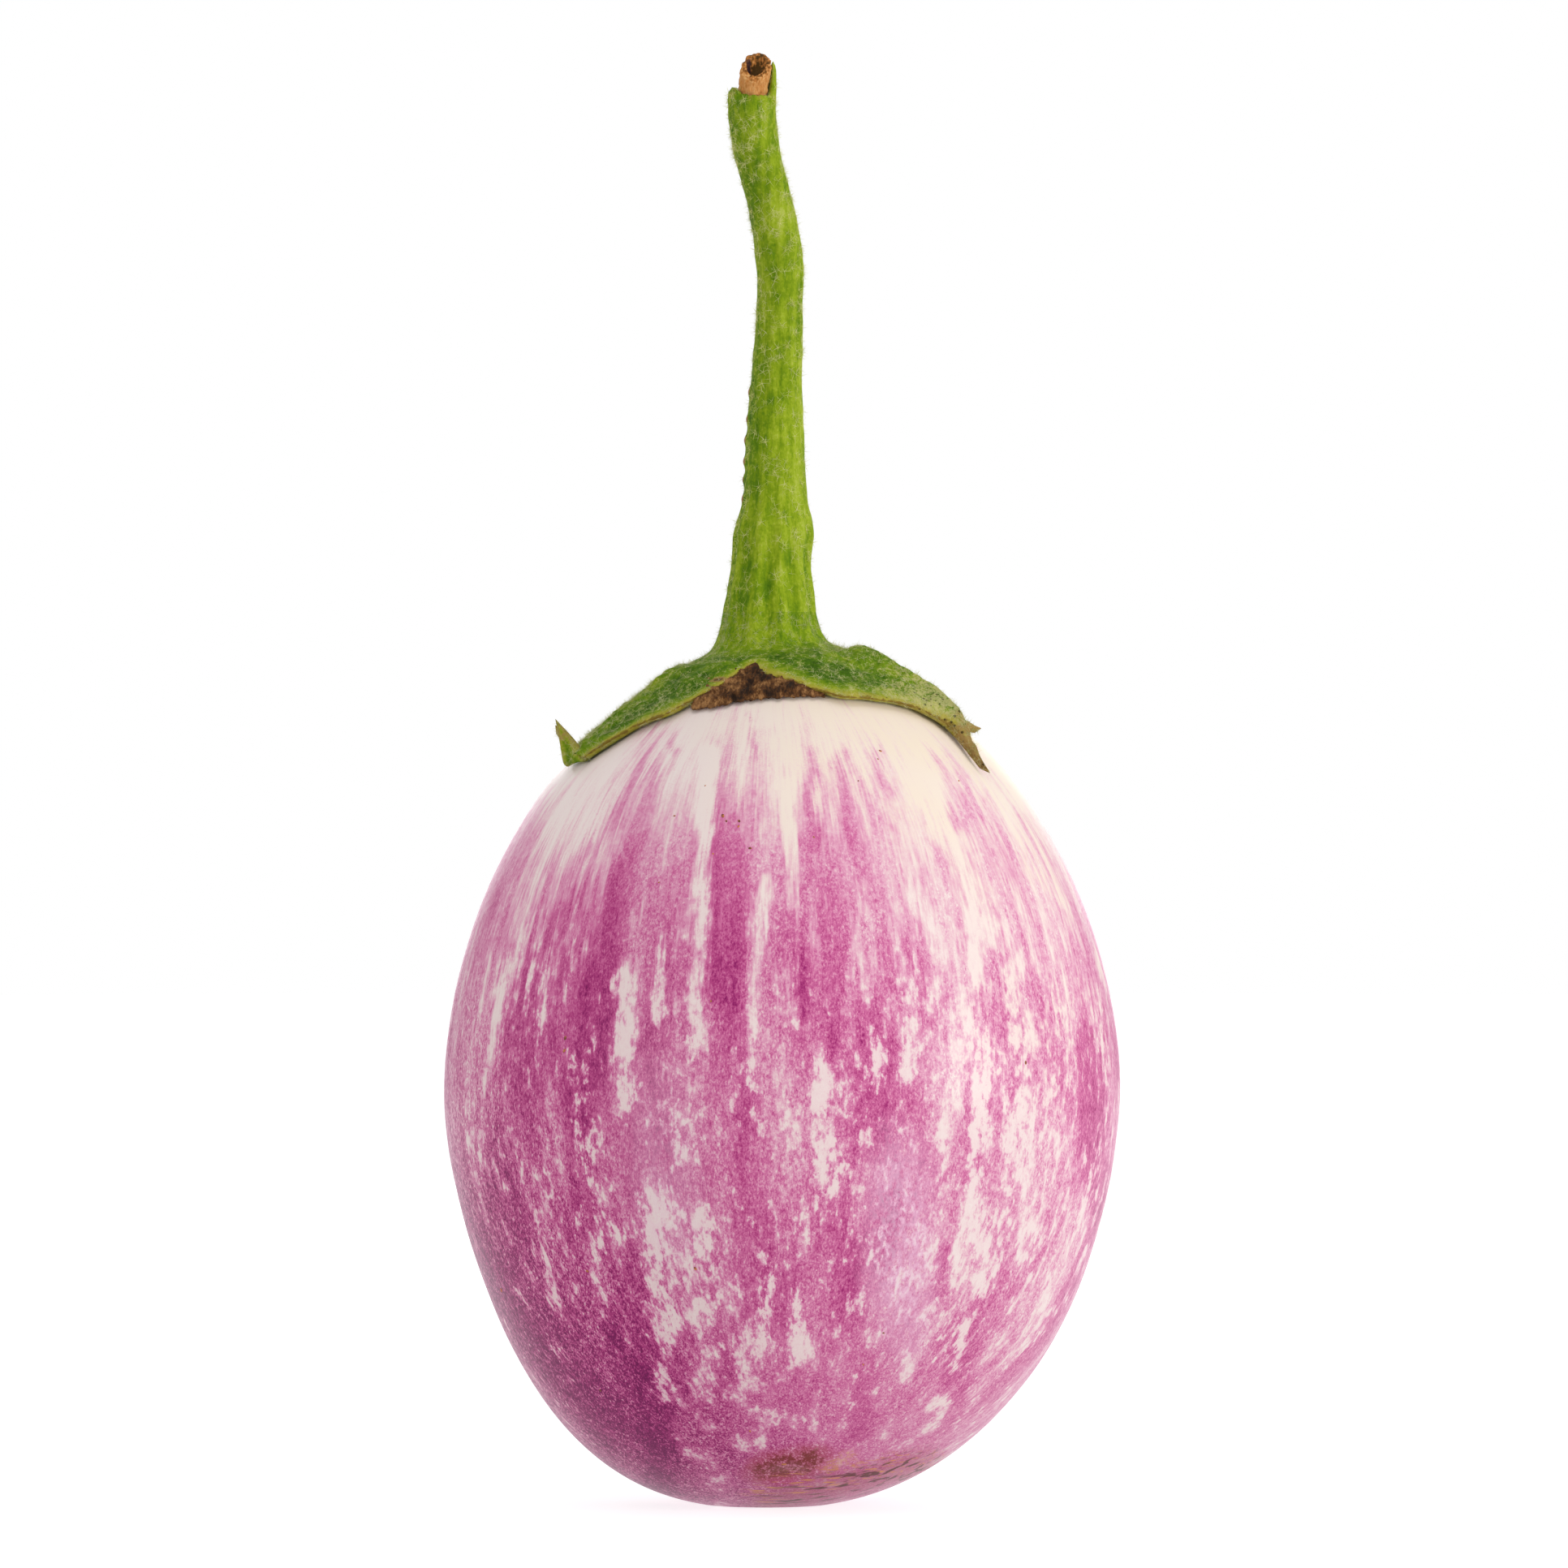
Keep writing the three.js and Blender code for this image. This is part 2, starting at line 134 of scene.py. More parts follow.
PIMPLES = ((116.2, 184), (118.4, 178), (120.5, 186), (123.0, 181), (125.4, 185), (128.6, 180))


# Plain arithmetic, on single numbers or on arrays


def ease(x, a, b):
    """0 at a, 1 at b and an even curve between them; a may be the larger of the two."""
    t = np.clip((x - a) / (b - a), 0, 1)
    return t * t * (3 - 2 * t)


def bell(x, width):
    """1 at 0, falling off smoothly on both sides."""
    return np.exp(-((x / width) ** 2))


def turn_between(start, end):
    """The turn from one direction to another, from -180 to 180 degrees."""
    return (end - start + 180) % 360 - 180


def lerp(a, b, share):
    return a + (b - a) * share


def joined(x, y, z):
    """Points from their coordinates, where one number may stand for a whole row."""
    return np.stack(np.broadcast_arrays(x, y, z), axis=-1)


def around(centre, reach, direction):
    """Points in plan at a reach from a centre, in a direction."""
    angle = np.radians(direction)
    return centre[0] + reach * np.cos(angle), centre[1] + reach * np.sin(angle)


def bumps(points, size, seed, depth=3):
    """Smooth irregular values from about -1 to 1 at points in millimetres, over bumps of a size."""
    shift = Vector((seed * 7.3, seed * 3.1, seed * 5.7))
    return np.array([noise.fractal(Vector(p) / size + shift, 1.0, 2.0, depth) for p in points])


# Shapes


def shoulder_z(x, y):
    """Height of the fruit's upper half at a place in plan, with the shallow seat of the calyx."""
    r = np.hypot(x, y)
    share = np.maximum(0, 1 - (r / FRUIT_RADIUS) ** SHOULDER_POWER) ** (1 / SHOULDER_POWER)
    dip = SEAT_DIP * ease(r, SEAT_EDGE, SEAT_FULL) * (1 - x / SEAT_LEAN)
    return WIDEST_Z + SHOULDER_HEIGHT * share - dip


def fruit_points(direction, v):
    """Points of the fruit: rows from the top at 0 to the widest level at 1, the edge of the flat
    spot at 2 and its middle at 3."""
    upper_r = FRUIT_RADIUS * np.sin(np.clip(v, 0, 1) * np.pi / 2) ** (2 / SHOULDER_POWER)
    x, y = around((0, 0), upper_r, direction)
    upper = joined(x, y, shoulder_z(x, y))
    depth_share = np.sin(np.clip(v - 1, 0, 1) * math.asin(WIDEST_Z / BELLY_DEPTH))
    z = np.maximum(WIDEST_Z - BELLY_DEPTH * depth_share, 0)
    r = FRUIT_RADIUS * np.maximum(0, 1 - depth_share**BELLY_POWER) ** (1 / BELLY_ROOT)
    shift = FOOT_SHIFT * np.maximum(0, 1 - z / FOOT_FADE) ** 2
    x, y = around((shift, 0), r * np.clip(3 - v, 0, 1), direction)
    return np.where((v < 1)[:, None], upper, joined(x, y, z))


def skin_normal(x, y):
    step = 0.05
    along_x = (shoulder_z(x + step, y) - shoulder_z(x - step, y)) / (2 * step)
    along_y = (shoulder_z(x, y + step) - shoulder_z(x, y - step)) / (2 * step)
    normal = joined(-along_x, -along_y, 1.0)
    return normal / np.linalg.norm(normal, axis=-1, keepdims=True)


def over_skin(x, y, height):
    """Points at a height off the fruit's shoulder."""
    return joined(x, y, shoulder_z(x, y)) + skin_normal(x, y) * np.asarray(height)[..., None]


def leaf_margin(direction):
    """The calyx's margin with its real split, wide and low, and its narrow tips."""
    turn = turn_between(SPLIT_AT, direction)
    width = np.where(turn < 0, TEAR_LEFT, TEAR_RIGHT)
    torn = np.clip(1 - np.abs(turn) / width, 0, 1) ** TEAR_POWER
    reach = CAP_REACH - SPLIT_DEPTH * torn
    for lobe in LOBES:
        turn = np.abs(turn_between(lobe["at"], direction))
        point = lobe["tip"] * lobe["point"]
        reach = reach + (lobe["tip"] - point) * np.exp(-turn / lobe["taper"])
        reach = reach + point * np.exp(-turn / lobe["needle"])
    return reach


def margin_directions(count):
    """Directions of the calyx's columns, evenly spaced along its margin."""
    steps_a_degree = 20
    fine = np.linspace(0, 360, 360 * steps_a_degree + 1)
    x, y = around((0, 0), leaf_margin(fine), fine)
    length = np.concatenate([[0], np.cumsum(np.hypot(np.diff(x), np.diff(y)))])
    return np.interp(np.arange(count) / count * length[-1], length, fine)


def calyx_thickness(reach, direction, margin):
    thickness = lerp(FLESH_HUB, FLESH_EDGE, ease(reach, FLESH_FROM, FLESH_TO))
    relief = ease(reach, RIB_FROM, RIB_TO)
    for lobe in LOBES:
        turn = np.radians(turn_between(lobe["at"], direction))
        beside = bell(reach * np.sin(turn), RIB_WIDTH)
        thickness = thickness + np.where(np.cos(turn) > 0, lobe["rib"] * relief * beside, 0)
    for at, depth, width in CREASES:
        turn = np.radians(turn_between(at, direction))
        beside = bell(reach * np.sin(turn), width)
        thickness = thickness - np.where(np.cos(turn) > 0, depth * relief * beside, 0)
    thickness = lerp(thickness, TIP_THICKNESS, ease(reach, TIP_FROM, TIP_TO))
    inside = np.clip((margin - reach) / MARGIN_ROUND, 0, 1)
    return lerp(MARGIN_THICKNESS, thickness, np.sqrt(inside * (2 - inside)))


def turned_about(vector, axis, degrees):
    return Matrix.Rotation(math.radians(degrees), 3, Vector(axis)) @ Vector(vector)


def lobe_points(lobe, reach, direction, height):
    """Points of one lobe, at a height off the fruit or off its curled-up part."""
    turn = np.radians(turn_between(lobe["at"], direction))
    along = reach * np.cos(turn)
    aside = reach * np.sin(turn)
    swing = lobe["hook"] * ease(along, CAP_REACH, CAP_REACH + lobe["tip"]) ** 2
    ahead = around(CALYX_CENTRE, along, lobe["at"])
    x, y = around(ahead, aside + swing, lobe["at"] + 90)
    flat = over_skin(x, y, height)
    if lobe["angle"] == 0:
        return flat
    root = around(CALYX_CENTRE, lobe["start"], lobe["at"])
    normal = Vector(skin_normal(np.array(root[0]), np.array(root[1])))
    outward = Vector((*around((0, 0), 1, lobe["at"]), 0))
    outward = (outward - normal * outward.dot(normal)).normalized()
    side = normal.cross(outward)
    curled = flat.copy()
    for i in np.nonzero(along > lobe["start"])[0]:
        past = along[i] - lobe["start"]
        turned = min(past / lobe["bend"], math.radians(lobe["angle"]))
        straight = past - lobe["bend"] * turned
        tip = turned_about(outward, side, -math.degrees(turned))
        twist = lobe["twist"] * past / (CAP_REACH + lobe["tip"] - lobe["start"])
        leaf_normal = turned_about(turned_about(normal, side, -math.degrees(turned)), tip, twist)
        leaf_side = turned_about(side, tip, twist)
        foot = around(root, aside[i], lobe["at"] + 90)
        foot = Vector(over_skin(np.array(foot[0]), np.array(foot[1]), 0.0))
        point = foot + outward * (lobe["bend"] * math.sin(turned))
        point += normal * (lobe["bend"] * (1 - math.cos(turned))) + tip * straight
        point += leaf_side * (aside[i] + swing[i]) - side * aside[i] + leaf_normal * height[i]
        curled[i] = point
    return curled


def calyx_points(reach, direction, height):
    turns = np.stack([np.abs(turn_between(lobe["at"], direction)) for lobe in LOBES])
    nearest = turns.argmin(axis=0)
    points = np.zeros((len(reach), 3))
    for i, lobe in enumerate(LOBES):
        here = nearest == i
        points[here] = lobe_points(lobe, reach[here], direction[here], height[here])
    return points


def catmull_rom(t):
    """A point of the stem's middle line, as a centripetal Catmull-Rom curve through its path."""
    path = [Vector(p) for p in STEM_PATH]
    path = [path[0] * 2 - path[1], *path, path[-1] * 2 - path[-2]]
    i = min(int(t * (len(STEM_PATH) - 1)), len(STEM_PATH) - 2)
    u = t * (len(STEM_PATH) - 1) - i
    p0, p1, p2, p3 = path[i : i + 4]
    d0, d1, d2 = (max((b - a).length, 1e-4) ** 0.5 for a, b in ((p0, p1), (p1, p2), (p2, p3)))
    m1 = ((p1 - p0) / d0 - (p2 - p0) / (d0 + d1) + (p2 - p1) / d1) * d1
    m2 = ((p2 - p1) / d1 - (p3 - p1) / (d1 + d2) + (p3 - p2) / d2) * d1
    c2 = (p2 - p1) * 3 - m1 * 2 - m2
    c3 = (p1 - p2) * 2 + m1 + m2
    return p1 + m1 * u + c2 * u * u + c3 * u**3


STEM_LINE = np.array([catmull_rom(t) for t in np.linspace(0, 1, 801)])


def stem_centre(z):
    x = np.interp(z, STEM_LINE[:, 2], STEM_LINE[:, 0])
    y = np.interp(z, STEM_LINE[:, 2], STEM_LINE[:, 1])
    return x, y


def stem_radius(direction, z):
    beside = bell(turn_between(LUMP_AT, direction), LUMP_WIDTH)
    radius = STALK_RADIUS + LUMP_GAIN * bell(z - LUMP_Z, LUMP_LENGTH) * beside
    for gain, start, length in SWELLINGS:
        radius = radius + gain * ease(z, start, start - length)
    ribs = RIB_DEPTH * np.cos(np.radians(RIB_COUNT * direction + RIB_PHASE))
    return radius + ribs * ease(z, RIBS_FROM, RIBS_FROM - RIBS_LENGTH)


def torn_z(direction):
    """Height of the stem's torn rim, with its standing sliver."""
    sliver = SLIVER * bell(turn_between(SLIVER_AT, direction), SLIVER_WIDTH)
    return TORN_Z + sliver + TORN_LEFT * bell(turn_between(TORN_LEFT_AT, direction), TORN_LEFT_WIDTH)


# Meshes


def closed_grid(columns, rows):
    """A sheet of columns and rows whose sides are joined and whose first and last rows are points,
    with the column and the row of each of its points."""
    bm = bmesh.new()
    bmesh.ops.create_grid(bm, x_segments=columns, y_segments=rows, size=1)

    def cell(vert):
        return round((vert.co.x + 1) / 2 * columns), round((1 - vert.co.y) / 2 * rows)

    placed = {cell(vert): vert for vert in bm.verts}
    moved_onto = {}
    for (column, row), vert in placed.items():
        target = 0 if row in (0, rows) else column % columns
        if target != column:
            moved_onto[vert] = placed[target, row]
    bmesh.ops.weld_verts(bm, targetmap=moved_onto)
    cells = np.array([cell(vert) for vert in bm.verts])
    return bm, cells[:, 0], cells[:, 1]


def move_points(bm, points):
    for vert, point in zip(bm.verts, points):
        vert.co = Vector(point) * MM


def crease_row(bm, row, sharp_row):
    """Makes the edges along one row of a closed grid sharp."""
    for edge in bm.edges:
        if all(row[vert.index] == sharp_row for vert in edge.verts):
            edge.smooth = False


def finished_piece(name, bm, material, replaces=(), attributes=None, smooth=True):
    """Turns a bmesh into a piece of the scene that rides on the root body."""
    bmesh.ops.recalc_face_normals(bm, faces=bm.faces[:])
    for face in bm.faces:
        face.smooth = smooth
    mesh = bpy.data.meshes.new(name)
    bm.to_mesh(mesh)
    bm.free()
    for key, values in (attributes or {}).items():
        values = np.asarray(values, dtype=np.float32)
        kind, field = ("FLOAT_VECTOR", "vector") if values.ndim == 2 else ("FLOAT", "value")
        mesh.attributes.new(key, kind, "POINT").data.foreach_set(field, values.ravel())
    mesh.materials.append(material)
    piece = bpy.data.objects.new(name, mesh)
    bpy.context.scene.collection.objects.link(piece)
    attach(piece, "root")
    if replaces:
        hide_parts(*replaces)
    return piece


# Materials


def paint(red, green, blue):
    """A colour given as screen values from 0 to 255, as the shader's linear values."""

    def linear(value):
        value /= 255
        return value / 12.92 if value <= 0.04045 else ((value + 0.055) / 1.055) ** 2.4

    return (linear(red), linear(green), linear(blue), 1.0)


class Finish:
    """One material and its nodes."""

    def __init__(self, name):
        self.material = bpy.data.materials.new(name)
        self.material.use_nodes = True
        self.tree = self.material.node_tree
        self.shader = self.tree.nodes["Principled BSDF"]

    def node(self, kind, inputs, **settings):
        made = self.tree.nodes.new(kind)
        for key, value in settings.items():
            setattr(made, key, value)
        for socket, value in inputs.items():
            self.put(made.inputs[socket], value)
        return made

    def put(self, socket, value):
        if isinstance(value, bpy.types.NodeSocket):
            self.tree.links.new(value, socket)
        else:
            socket.default_value = value

    def calc(self, operation, a, b=0.0, c=0.0):
        return self.node("ShaderNodeMath", {0: a, 1: b, 2: c}, operation=operation).outputs[0]

    def total(self, start, *terms):
        """start plus each (value, weight) pair, where a value is centred on a half."""
        result = start
        for value, weight in terms:
            centred = self.calc("SUBTRACT", value, 0.5)
            result = self.calc("MULTIPLY_ADD", centred, weight, result)
        return result

    def span(self, value, low, high, out_low=0.0, out_high=1.0):
        """out_low at low, out_high at high and an even curve between them."""
        inputs = {"Value": value, "From Min": low, "From Max": high}
        inputs.update({"To Min": out_low, "To Max": out_high})
        return self.node("ShaderNodeMapRange", inputs, interpolation_type="SMOOTHSTEP").outputs[0]

    def attribute(self, name, vector=False):
        made = self.node("ShaderNodeAttribute", {}, attribute_name=name)
        return made.outputs["Vector" if vector else "Fac"]

    def place(self):
        """Object coordinates in millimetres."""
        made = self.node("ShaderNodeTexCoord", {})
        return self.stretched(made.outputs["Object"], (1000, 1000, 1000))

    def stretched(self, vector, scale):
        inputs = {0: vector, 1: scale}
        return self.node("ShaderNodeVectorMath", inputs, operation="MULTIPLY").outputs[0]

    def noise(self, vector, scale=1.0, detail=2.0, rough=0.5, distortion=0.0):
        inputs = {"Vector": vector, "Scale": scale, "Detail": detail}
        inputs.update({"Roughness": rough, "Distortion": distortion})
        return self.node("ShaderNodeTexNoise", inputs).outputs["Fac"]

    def cells(self, vector, scale):
        """How far each place is from the middle of its cell."""
        inputs = {"Vector": vector, "Scale": scale}
        return self.node("ShaderNodeTexVoronoi", inputs).outputs["Distance"]

    def mix(self, share, first, second):
        made = self.node("ShaderNodeMix", {"Factor": share}, data_type="RGBA")
        ground, cover = [socket for socket in made.inputs if socket.type == "RGBA"]
        self.put(ground, first)
        self.put(cover, second)
        return next(socket for socket in made.outputs if socket.type == "RGBA")

    def ramp(self, value, stops):
        """Colours that change with a value, given as (value, screen colour) pairs."""
        made = self.node("ShaderNodeValToRGB", {"Fac": value})
        elements = made.color_ramp.elements
        while len(elements) < len(stops):
            elements.new(0.5)
        for element, (position, colour) in zip(elements, stops):
            element.position = position
            element.color = paint(*colour)
        return made.outputs["Color"]

    def bump(self, height, strength, distance):
        """Low relief, over a distance in millimetres."""
        inputs = {"Height": height, "Strength": strength, "Distance": distance * MM}
        made = self.node("ShaderNodeBump", inputs)
        self.put(self.shader.inputs["Normal"], made.outputs["Normal"])

    def set(self, **values):
        for name, value in values.items():
            self.put(self.shader.inputs[name.replace("_", " ")], value)


# From the cream ground to the deepest pink
SKIN_PINKS = (
    (0.0, (244, 230, 225)),
    (0.12, (238, 206, 210)),
    (0.28, (228, 162, 190)),
    (0.46, (211, 110, 160)),
    (0.66, (184, 66, 130)),
    (0.84, (150, 30, 104)),
    (1.0, (118, 10, 84)),
)


def scarred_foot(skin, colour, place, patch, grain, dust):
    """The blossom scar with its brown heart, a tan patch, a bruise, and pale and dark scratches."""
    speckled = skin.total(1.0, (grain, 1.8), (dust, 1.4), (patch, 1.5))
    scar = skin.calc("MULTIPLY", skin.attribute("scar"), speckled)
    colour = skin.mix(skin.span(scar, 0.1, 0.9, 0.0, 0.68), colour, paint(172, 70, 84))
    colour = skin.mix(skin.span(scar, 0.7, 1.15, 0.0, 0.9), colour, paint(120, 40, 32))
    speckled = skin.total(1.0, (grain, 4.5), (dust, 2.5))
    tan = skin.calc("MULTIPLY", skin.attribute("tan"), speckled)
    colour = skin.mix(skin.span(tan, 0.4, 1.3, 0.0, 0.7), colour, paint(214, 150, 112))
    bruise = skin.attribute("bruise")
    colour = skin.mix(skin.calc("MULTIPLY", bruise, 0.66), colour, paint(172, 70, 104))
    graze = skin.noise(skin.stretched(place, (0.28, 1.0, 4.5)), detail=3, rough=0.6)
    scratches = skin.calc("MULTIPLY", skin.span(graze, 0.55, 0.65), skin.attribute("scratched"))
    colour = skin.mix(scratches, colour, paint(214, 140, 80))
    graze = skin.noise(skin.stretched(place, (0.17, 1.0, 1.5)), detail=4)
    scratches = skin.calc("MULTIPLY", skin.span(graze, 0.53, 0.6), bruise)
    return skin.mix(scratches, colour, paint(92, 22, 24))


def skin_finish():
    """Glossy skin: stripes, blotches and grains of pink and purple over a cream ground."""
    skin = Finish("striped_skin")
    streak = skin.attribute("streak", vector=True)
    age = skin.attribute("age")  # 0 at the shoulder, where marks are long, to 1 below
    place = skin.place()

    # Noise along the stripes, from broad zones to hair streaks, and noise that ignores them
    broad = skin.noise(skin.stretched(streak, (2.6, 2.6, 1.0)), detail=2)
    stripe = skin.noise(skin.stretched(streak, (8.5, 8.5, 1.3)), detail=2)
    band = skin.noise(skin.stretched(streak, (13, 13, 1.7)), detail=3, rough=0.55)
    fine = skin.noise(skin.stretched(streak, (34, 34, 3.2)), detail=3, rough=0.6)
    hair = skin.noise(skin.stretched(streak, (95, 95, 8)), detail=2)
    fleck = skin.noise(skin.stretched(streak, (36, 36, 17)), detail=4, rough=0.65)
    patch = skin.noise(skin.stretched(place, (1, 1, 0.5)), 0.36, detail=4, rough=0.6)
    grain = skin.noise(skin.stretched(place, (1, 1, 0.6)), 1.9, detail=3, rough=0.7)
    dust = skin.noise(skin.stretched(place, (1, 1, 0.55)), 5.0, detail=2, rough=0.7)

    streaks = skin.total(0.0, (fine, 1.3), (hair, 0.8), (band, 1.0))
    streaks = skin.calc("MULTIPLY", streaks, skin.attribute("streaky"))
    drawn = skin.calc("MULTIPLY", skin.calc("SUBTRACT", fleck, 0.5), skin.attribute("drawn"))
    flecks = skin.total(0.0, (patch, 2.2), (grain, 1.9))
    flecks = skin.calc("MULTIPLY_ADD", drawn, 2.2, flecks)
    flecks = skin.calc("MULTIPLY", flecks, age)
    zones = skin.total(0.0, (broad, 0.55), (stripe, 0.55))
    zones = skin.calc("MULTIPLY", zones, skin.attribute("zoned"))

    # How deep the pink is
    depth = skin.total(0.5, (patch, 0.35), (grain, 0.9), (dust, 0.9))
    depth = skin.calc("ADD", depth, zones)
    coarse = skin.total(0.0, (dust, 1.6), (grain, 1.0))
    depth = skin.calc("MULTIPLY_ADD", coarse, skin.attribute("grainy"), depth)
    # The deep attribute adds deep patches, with painted shade at the lower left and painted light on the
    # right half
    depth = skin.calc("MULTIPLY_ADD", skin.attribute("deep"), 0.3, depth)
    depth = skin.calc("MULTIPLY_ADD", streaks, -0.2, depth)
    depth = skin.calc("MULTIPLY_ADD", flecks, -0.1, depth)
    depth = skin.calc("MULTIPLY", depth, skin.attribute("wash"))

    # Where the cream ground shows through it
    # The pale attribute also carries painted light on the right half and painted shade at the lower left
    pale = skin.total(skin.attribute("pale"), (dust, 0.7))
    pale = skin.calc("ADD", pale, streaks)
    pale = skin.calc("ADD", pale, flecks)
    pale = skin.calc("MULTIPLY_ADD", zones, -0.35, pale)
    pale = skin.span(pale, 0.3, 0.95)
    cleared = skin.calc("MULTIPLY", pale, skin.calc("MULTIPLY_ADD", age, 0.1, -0.96))
    depth = skin.calc("MULTIPLY", depth, skin.calc("ADD", cleared, 1.0))

    colour = skin.ramp(depth, SKIN_PINKS)
    yellow = skin.noise(place, 0.06, detail=1)
    warmth = skin.calc("MULTIPLY", skin.attribute("warm"), skin.span(yellow, 0.35, 0.7, 0.4, 1.0))
    colour = skin.mix(skin.calc("MULTIPLY", warmth, pale), colour, paint(243, 226, 196))
    # Painted highlights: pale pink-white patches mixed into the skin's colour
    painted_highlight = skin.calc("MULTIPLY", skin.attribute("painted_highlight"), skin.span(grain, 0.3, 0.62))
    colour = skin.mix(painted_highlight, colour, paint(244, 208, 230))

    colour = scarred_foot(skin, colour, place, patch, grain, dust)
    skin.bump(skin.total(0.0, (hair, 0.2), (grain, 0.15)), 0.2, 0.05)
    gloss = skin.span(grain, 0.3, 0.7, 0.28, 0.38)
    skin.set(Base_Color=colour, Roughness=gloss, Specular_IOR_Level=0.15)
    return skin.material


# What is drawn on the skin

# Pale patches in the photograph: the pixels of both ends, half the width in pixels, and strength
BARE_MARKS = (
    (873, 940, 858, 1290, 11, 1.0),
    (815, 1180, 812, 1262, 7, 0.9),
    (772, 1228, 768, 1275, 17, 0.95),
    (766, 1275, 772, 1365, 11, 0.9),
    (619, 1190, 606, 1300, 8, 1.0),
    (603, 1300, 597, 1345, 5, 0.8),
    (720, 1030, 690, 1145, 18, 0.55),
    (941, 1096, 939, 1155, 9, 0.9),
    (926, 1208, 926, 1312, 7, 0.95),
    (971, 990, 976, 1115, 9, 0.9),
    (1140, 960, 1215, 1145, 20, 0.85),
    (1195, 1140, 1203, 1185, 10, 0.8),
    (1250, 1195, 1262, 1285, 15, 0.7),
    (1225, 935, 1270, 1000, 8, 0.6),
    (1013, 1305, 1016, 1440, 12, 1.05),
    (976, 1370, 975, 1425, 9, 0.8),
    (1212, 1270, 1213, 1400, 8, 0.85),
    (1121, 1275, 1119, 1315, 9, 0.85),
    (1163, 1385, 1163, 1445, 8, 1.0),
    (1207, 1345, 1198, 1510, 11, 0.7),
    (1258, 1380, 1252, 1510, 17, 0.66),
    (1215, 1500, 1207, 1592, 9, 0.95),
    (1179, 1525, 1177, 1578, 8, 0.8),
    (980, 1620, 981, 1664, 10, 0.85),
    (1190, 1632, 1180, 1668, 5, 0.9),
    (1171, 1703, 1147, 1740, 6, 0.95),
    (1119, 1662, 1116, 1688, 10, 0.8),
    (1008, 1722, 1007, 1752, 6, 0.7),
    (578, 1380, 592, 1468, 7, 0.8),
    (664, 1443, 666, 1492, 9, 0.75),
    (730, 1440, 735, 1552, 9, 0.95),
    (738, 1470, 765, 1532, 8, 0.85),
    (672, 1525, 685, 1608, 9, 0.95),
    (812, 1510, 818, 1615, 25, 1.0),
    (812, 1600, 817, 1705, 9, 0.95),
    (875, 1515, 874, 1560, 8, 0.95),
    (862, 1535, 868, 1630, 26, 0.72),
    (928, 1612, 932, 1705, 26, 0.68),
    (860, 1650, 871, 1770, 12, 0.55),
    (835, 1745, 880, 1825, 18, 0.5),
    (955, 1255, 962, 1330, 8, 0.5),
    (1090, 1225, 1085, 1300, 7, 0.4),
    (1063, 1105, 1062, 1165, 8, 0.4),
    (846, 1170, 846, 1250, 5, 0.7),
    (1300, 1085, 1325, 1200, 7, 0.45),
    (1150, 1180, 1152, 1240, 8, 0.5),
    (1350, 1180, 1366, 1330, 5, 0.6),
    (1345, 1420, 1330, 1520, 5, 0.6),
    (1290, 1600, 1262, 1650, 6, 0.55),
    (1230, 1745, 1160, 1800, 7, 0.5),
    (935, 1735, 938, 1765, 9, 0.5),
    (640, 1380, 645, 1440, 6, 0.45),
    (900, 1300, 905, 1350, 6, 0.4),
    (830, 1290, 835, 1400, 6, 0.35),
    (1060, 1440, 1055, 1500, 8, 0.35),
    (715, 1000, 668, 1150, 52, 0.62),
    (655, 1140, 638, 1240, 36, 0.55),
    (1120, 1030, 1150, 1180, 30, 0.35),
    (1235, 1000, 1290, 1180, 24, 0.35),
    (1275, 1020, 1330, 1230, 30, 0.3),
    (1180, 1200, 1190, 1340, 30, 0.35),
)
# Deeply coloured patches, in the same form
DEEP_MARKS = (
    (628, 1000, 588, 1170, 16, 0.3),
    (800, 950, 765, 1075, 15, 0.65),
    (768, 1060, 735, 1320, 14, 0.5),
    (728, 1215, 725, 1330, 18, 0.45),
    (676, 1275, 672, 1325, 12, 0.4),
    (900, 1000, 896, 1210, 20, 0.42),
    (915, 1060, 905, 1160, 12, 0.3),
    (992, 1165, 992, 1242, 10, 0.5),
    (1080, 1240, 1082, 1385, 18, 0.45),
    (1060, 1008, 1060, 1070, 24, 0.3),
    (1262, 1055, 1275, 1180, 24, 0.15),
    (1343, 1290, 1350, 1470, 16, 0.7),
    (800, 900, 770, 990, 20, 0.6),
    (895, 900, 885, 1000, 18, 0.5),
    (940, 905, 938, 990, 12, 0.45),
    (1000, 955, 1003, 1060, 9, 0.6),
    (1035, 950, 1050, 1040, 10, 0.65),
    (670, 965, 635, 1060, 12, 0.25),
    (1085, 950, 1100, 1010, 10, 0.6),
    (1168, 915, 1200, 990, 10, 0.45),
    (1215, 955, 1245, 1060, 9, 0.4),
    (1150, 930, 1175, 1000, 8, 0.4),
    (829, 904, 829, 920, 5, 0.9),
    (927, 892, 927, 930, 5, 1.0),
    (712, 1340, 715, 1520, 16, 0.55),
    (755, 1625, 765, 1710, 16, 0.5),
    (800, 1715, 812, 1790, 26, 0.8),
    (700, 1640, 740, 1740, 28, 0.5),
    (1048, 1540, 1048, 1620, 14, 0.35),
    (1165, 1570, 1165, 1632, 15, 0.45),
    (1185, 1664, 1180, 1705, 18, 0.4),
    (848, 1310, 850, 1380, 16, 0.35),
    (930, 1370, 932, 1480, 20, 0.3),
    (905, 1640, 895, 1700, 14, 0.4),
    (640, 1600, 680, 1690, 22, 0.3),
    (1290, 1240, 1310, 1330, 16, 0.3),
    (1060, 1700, 1060, 1760, 18, 0.35),
)
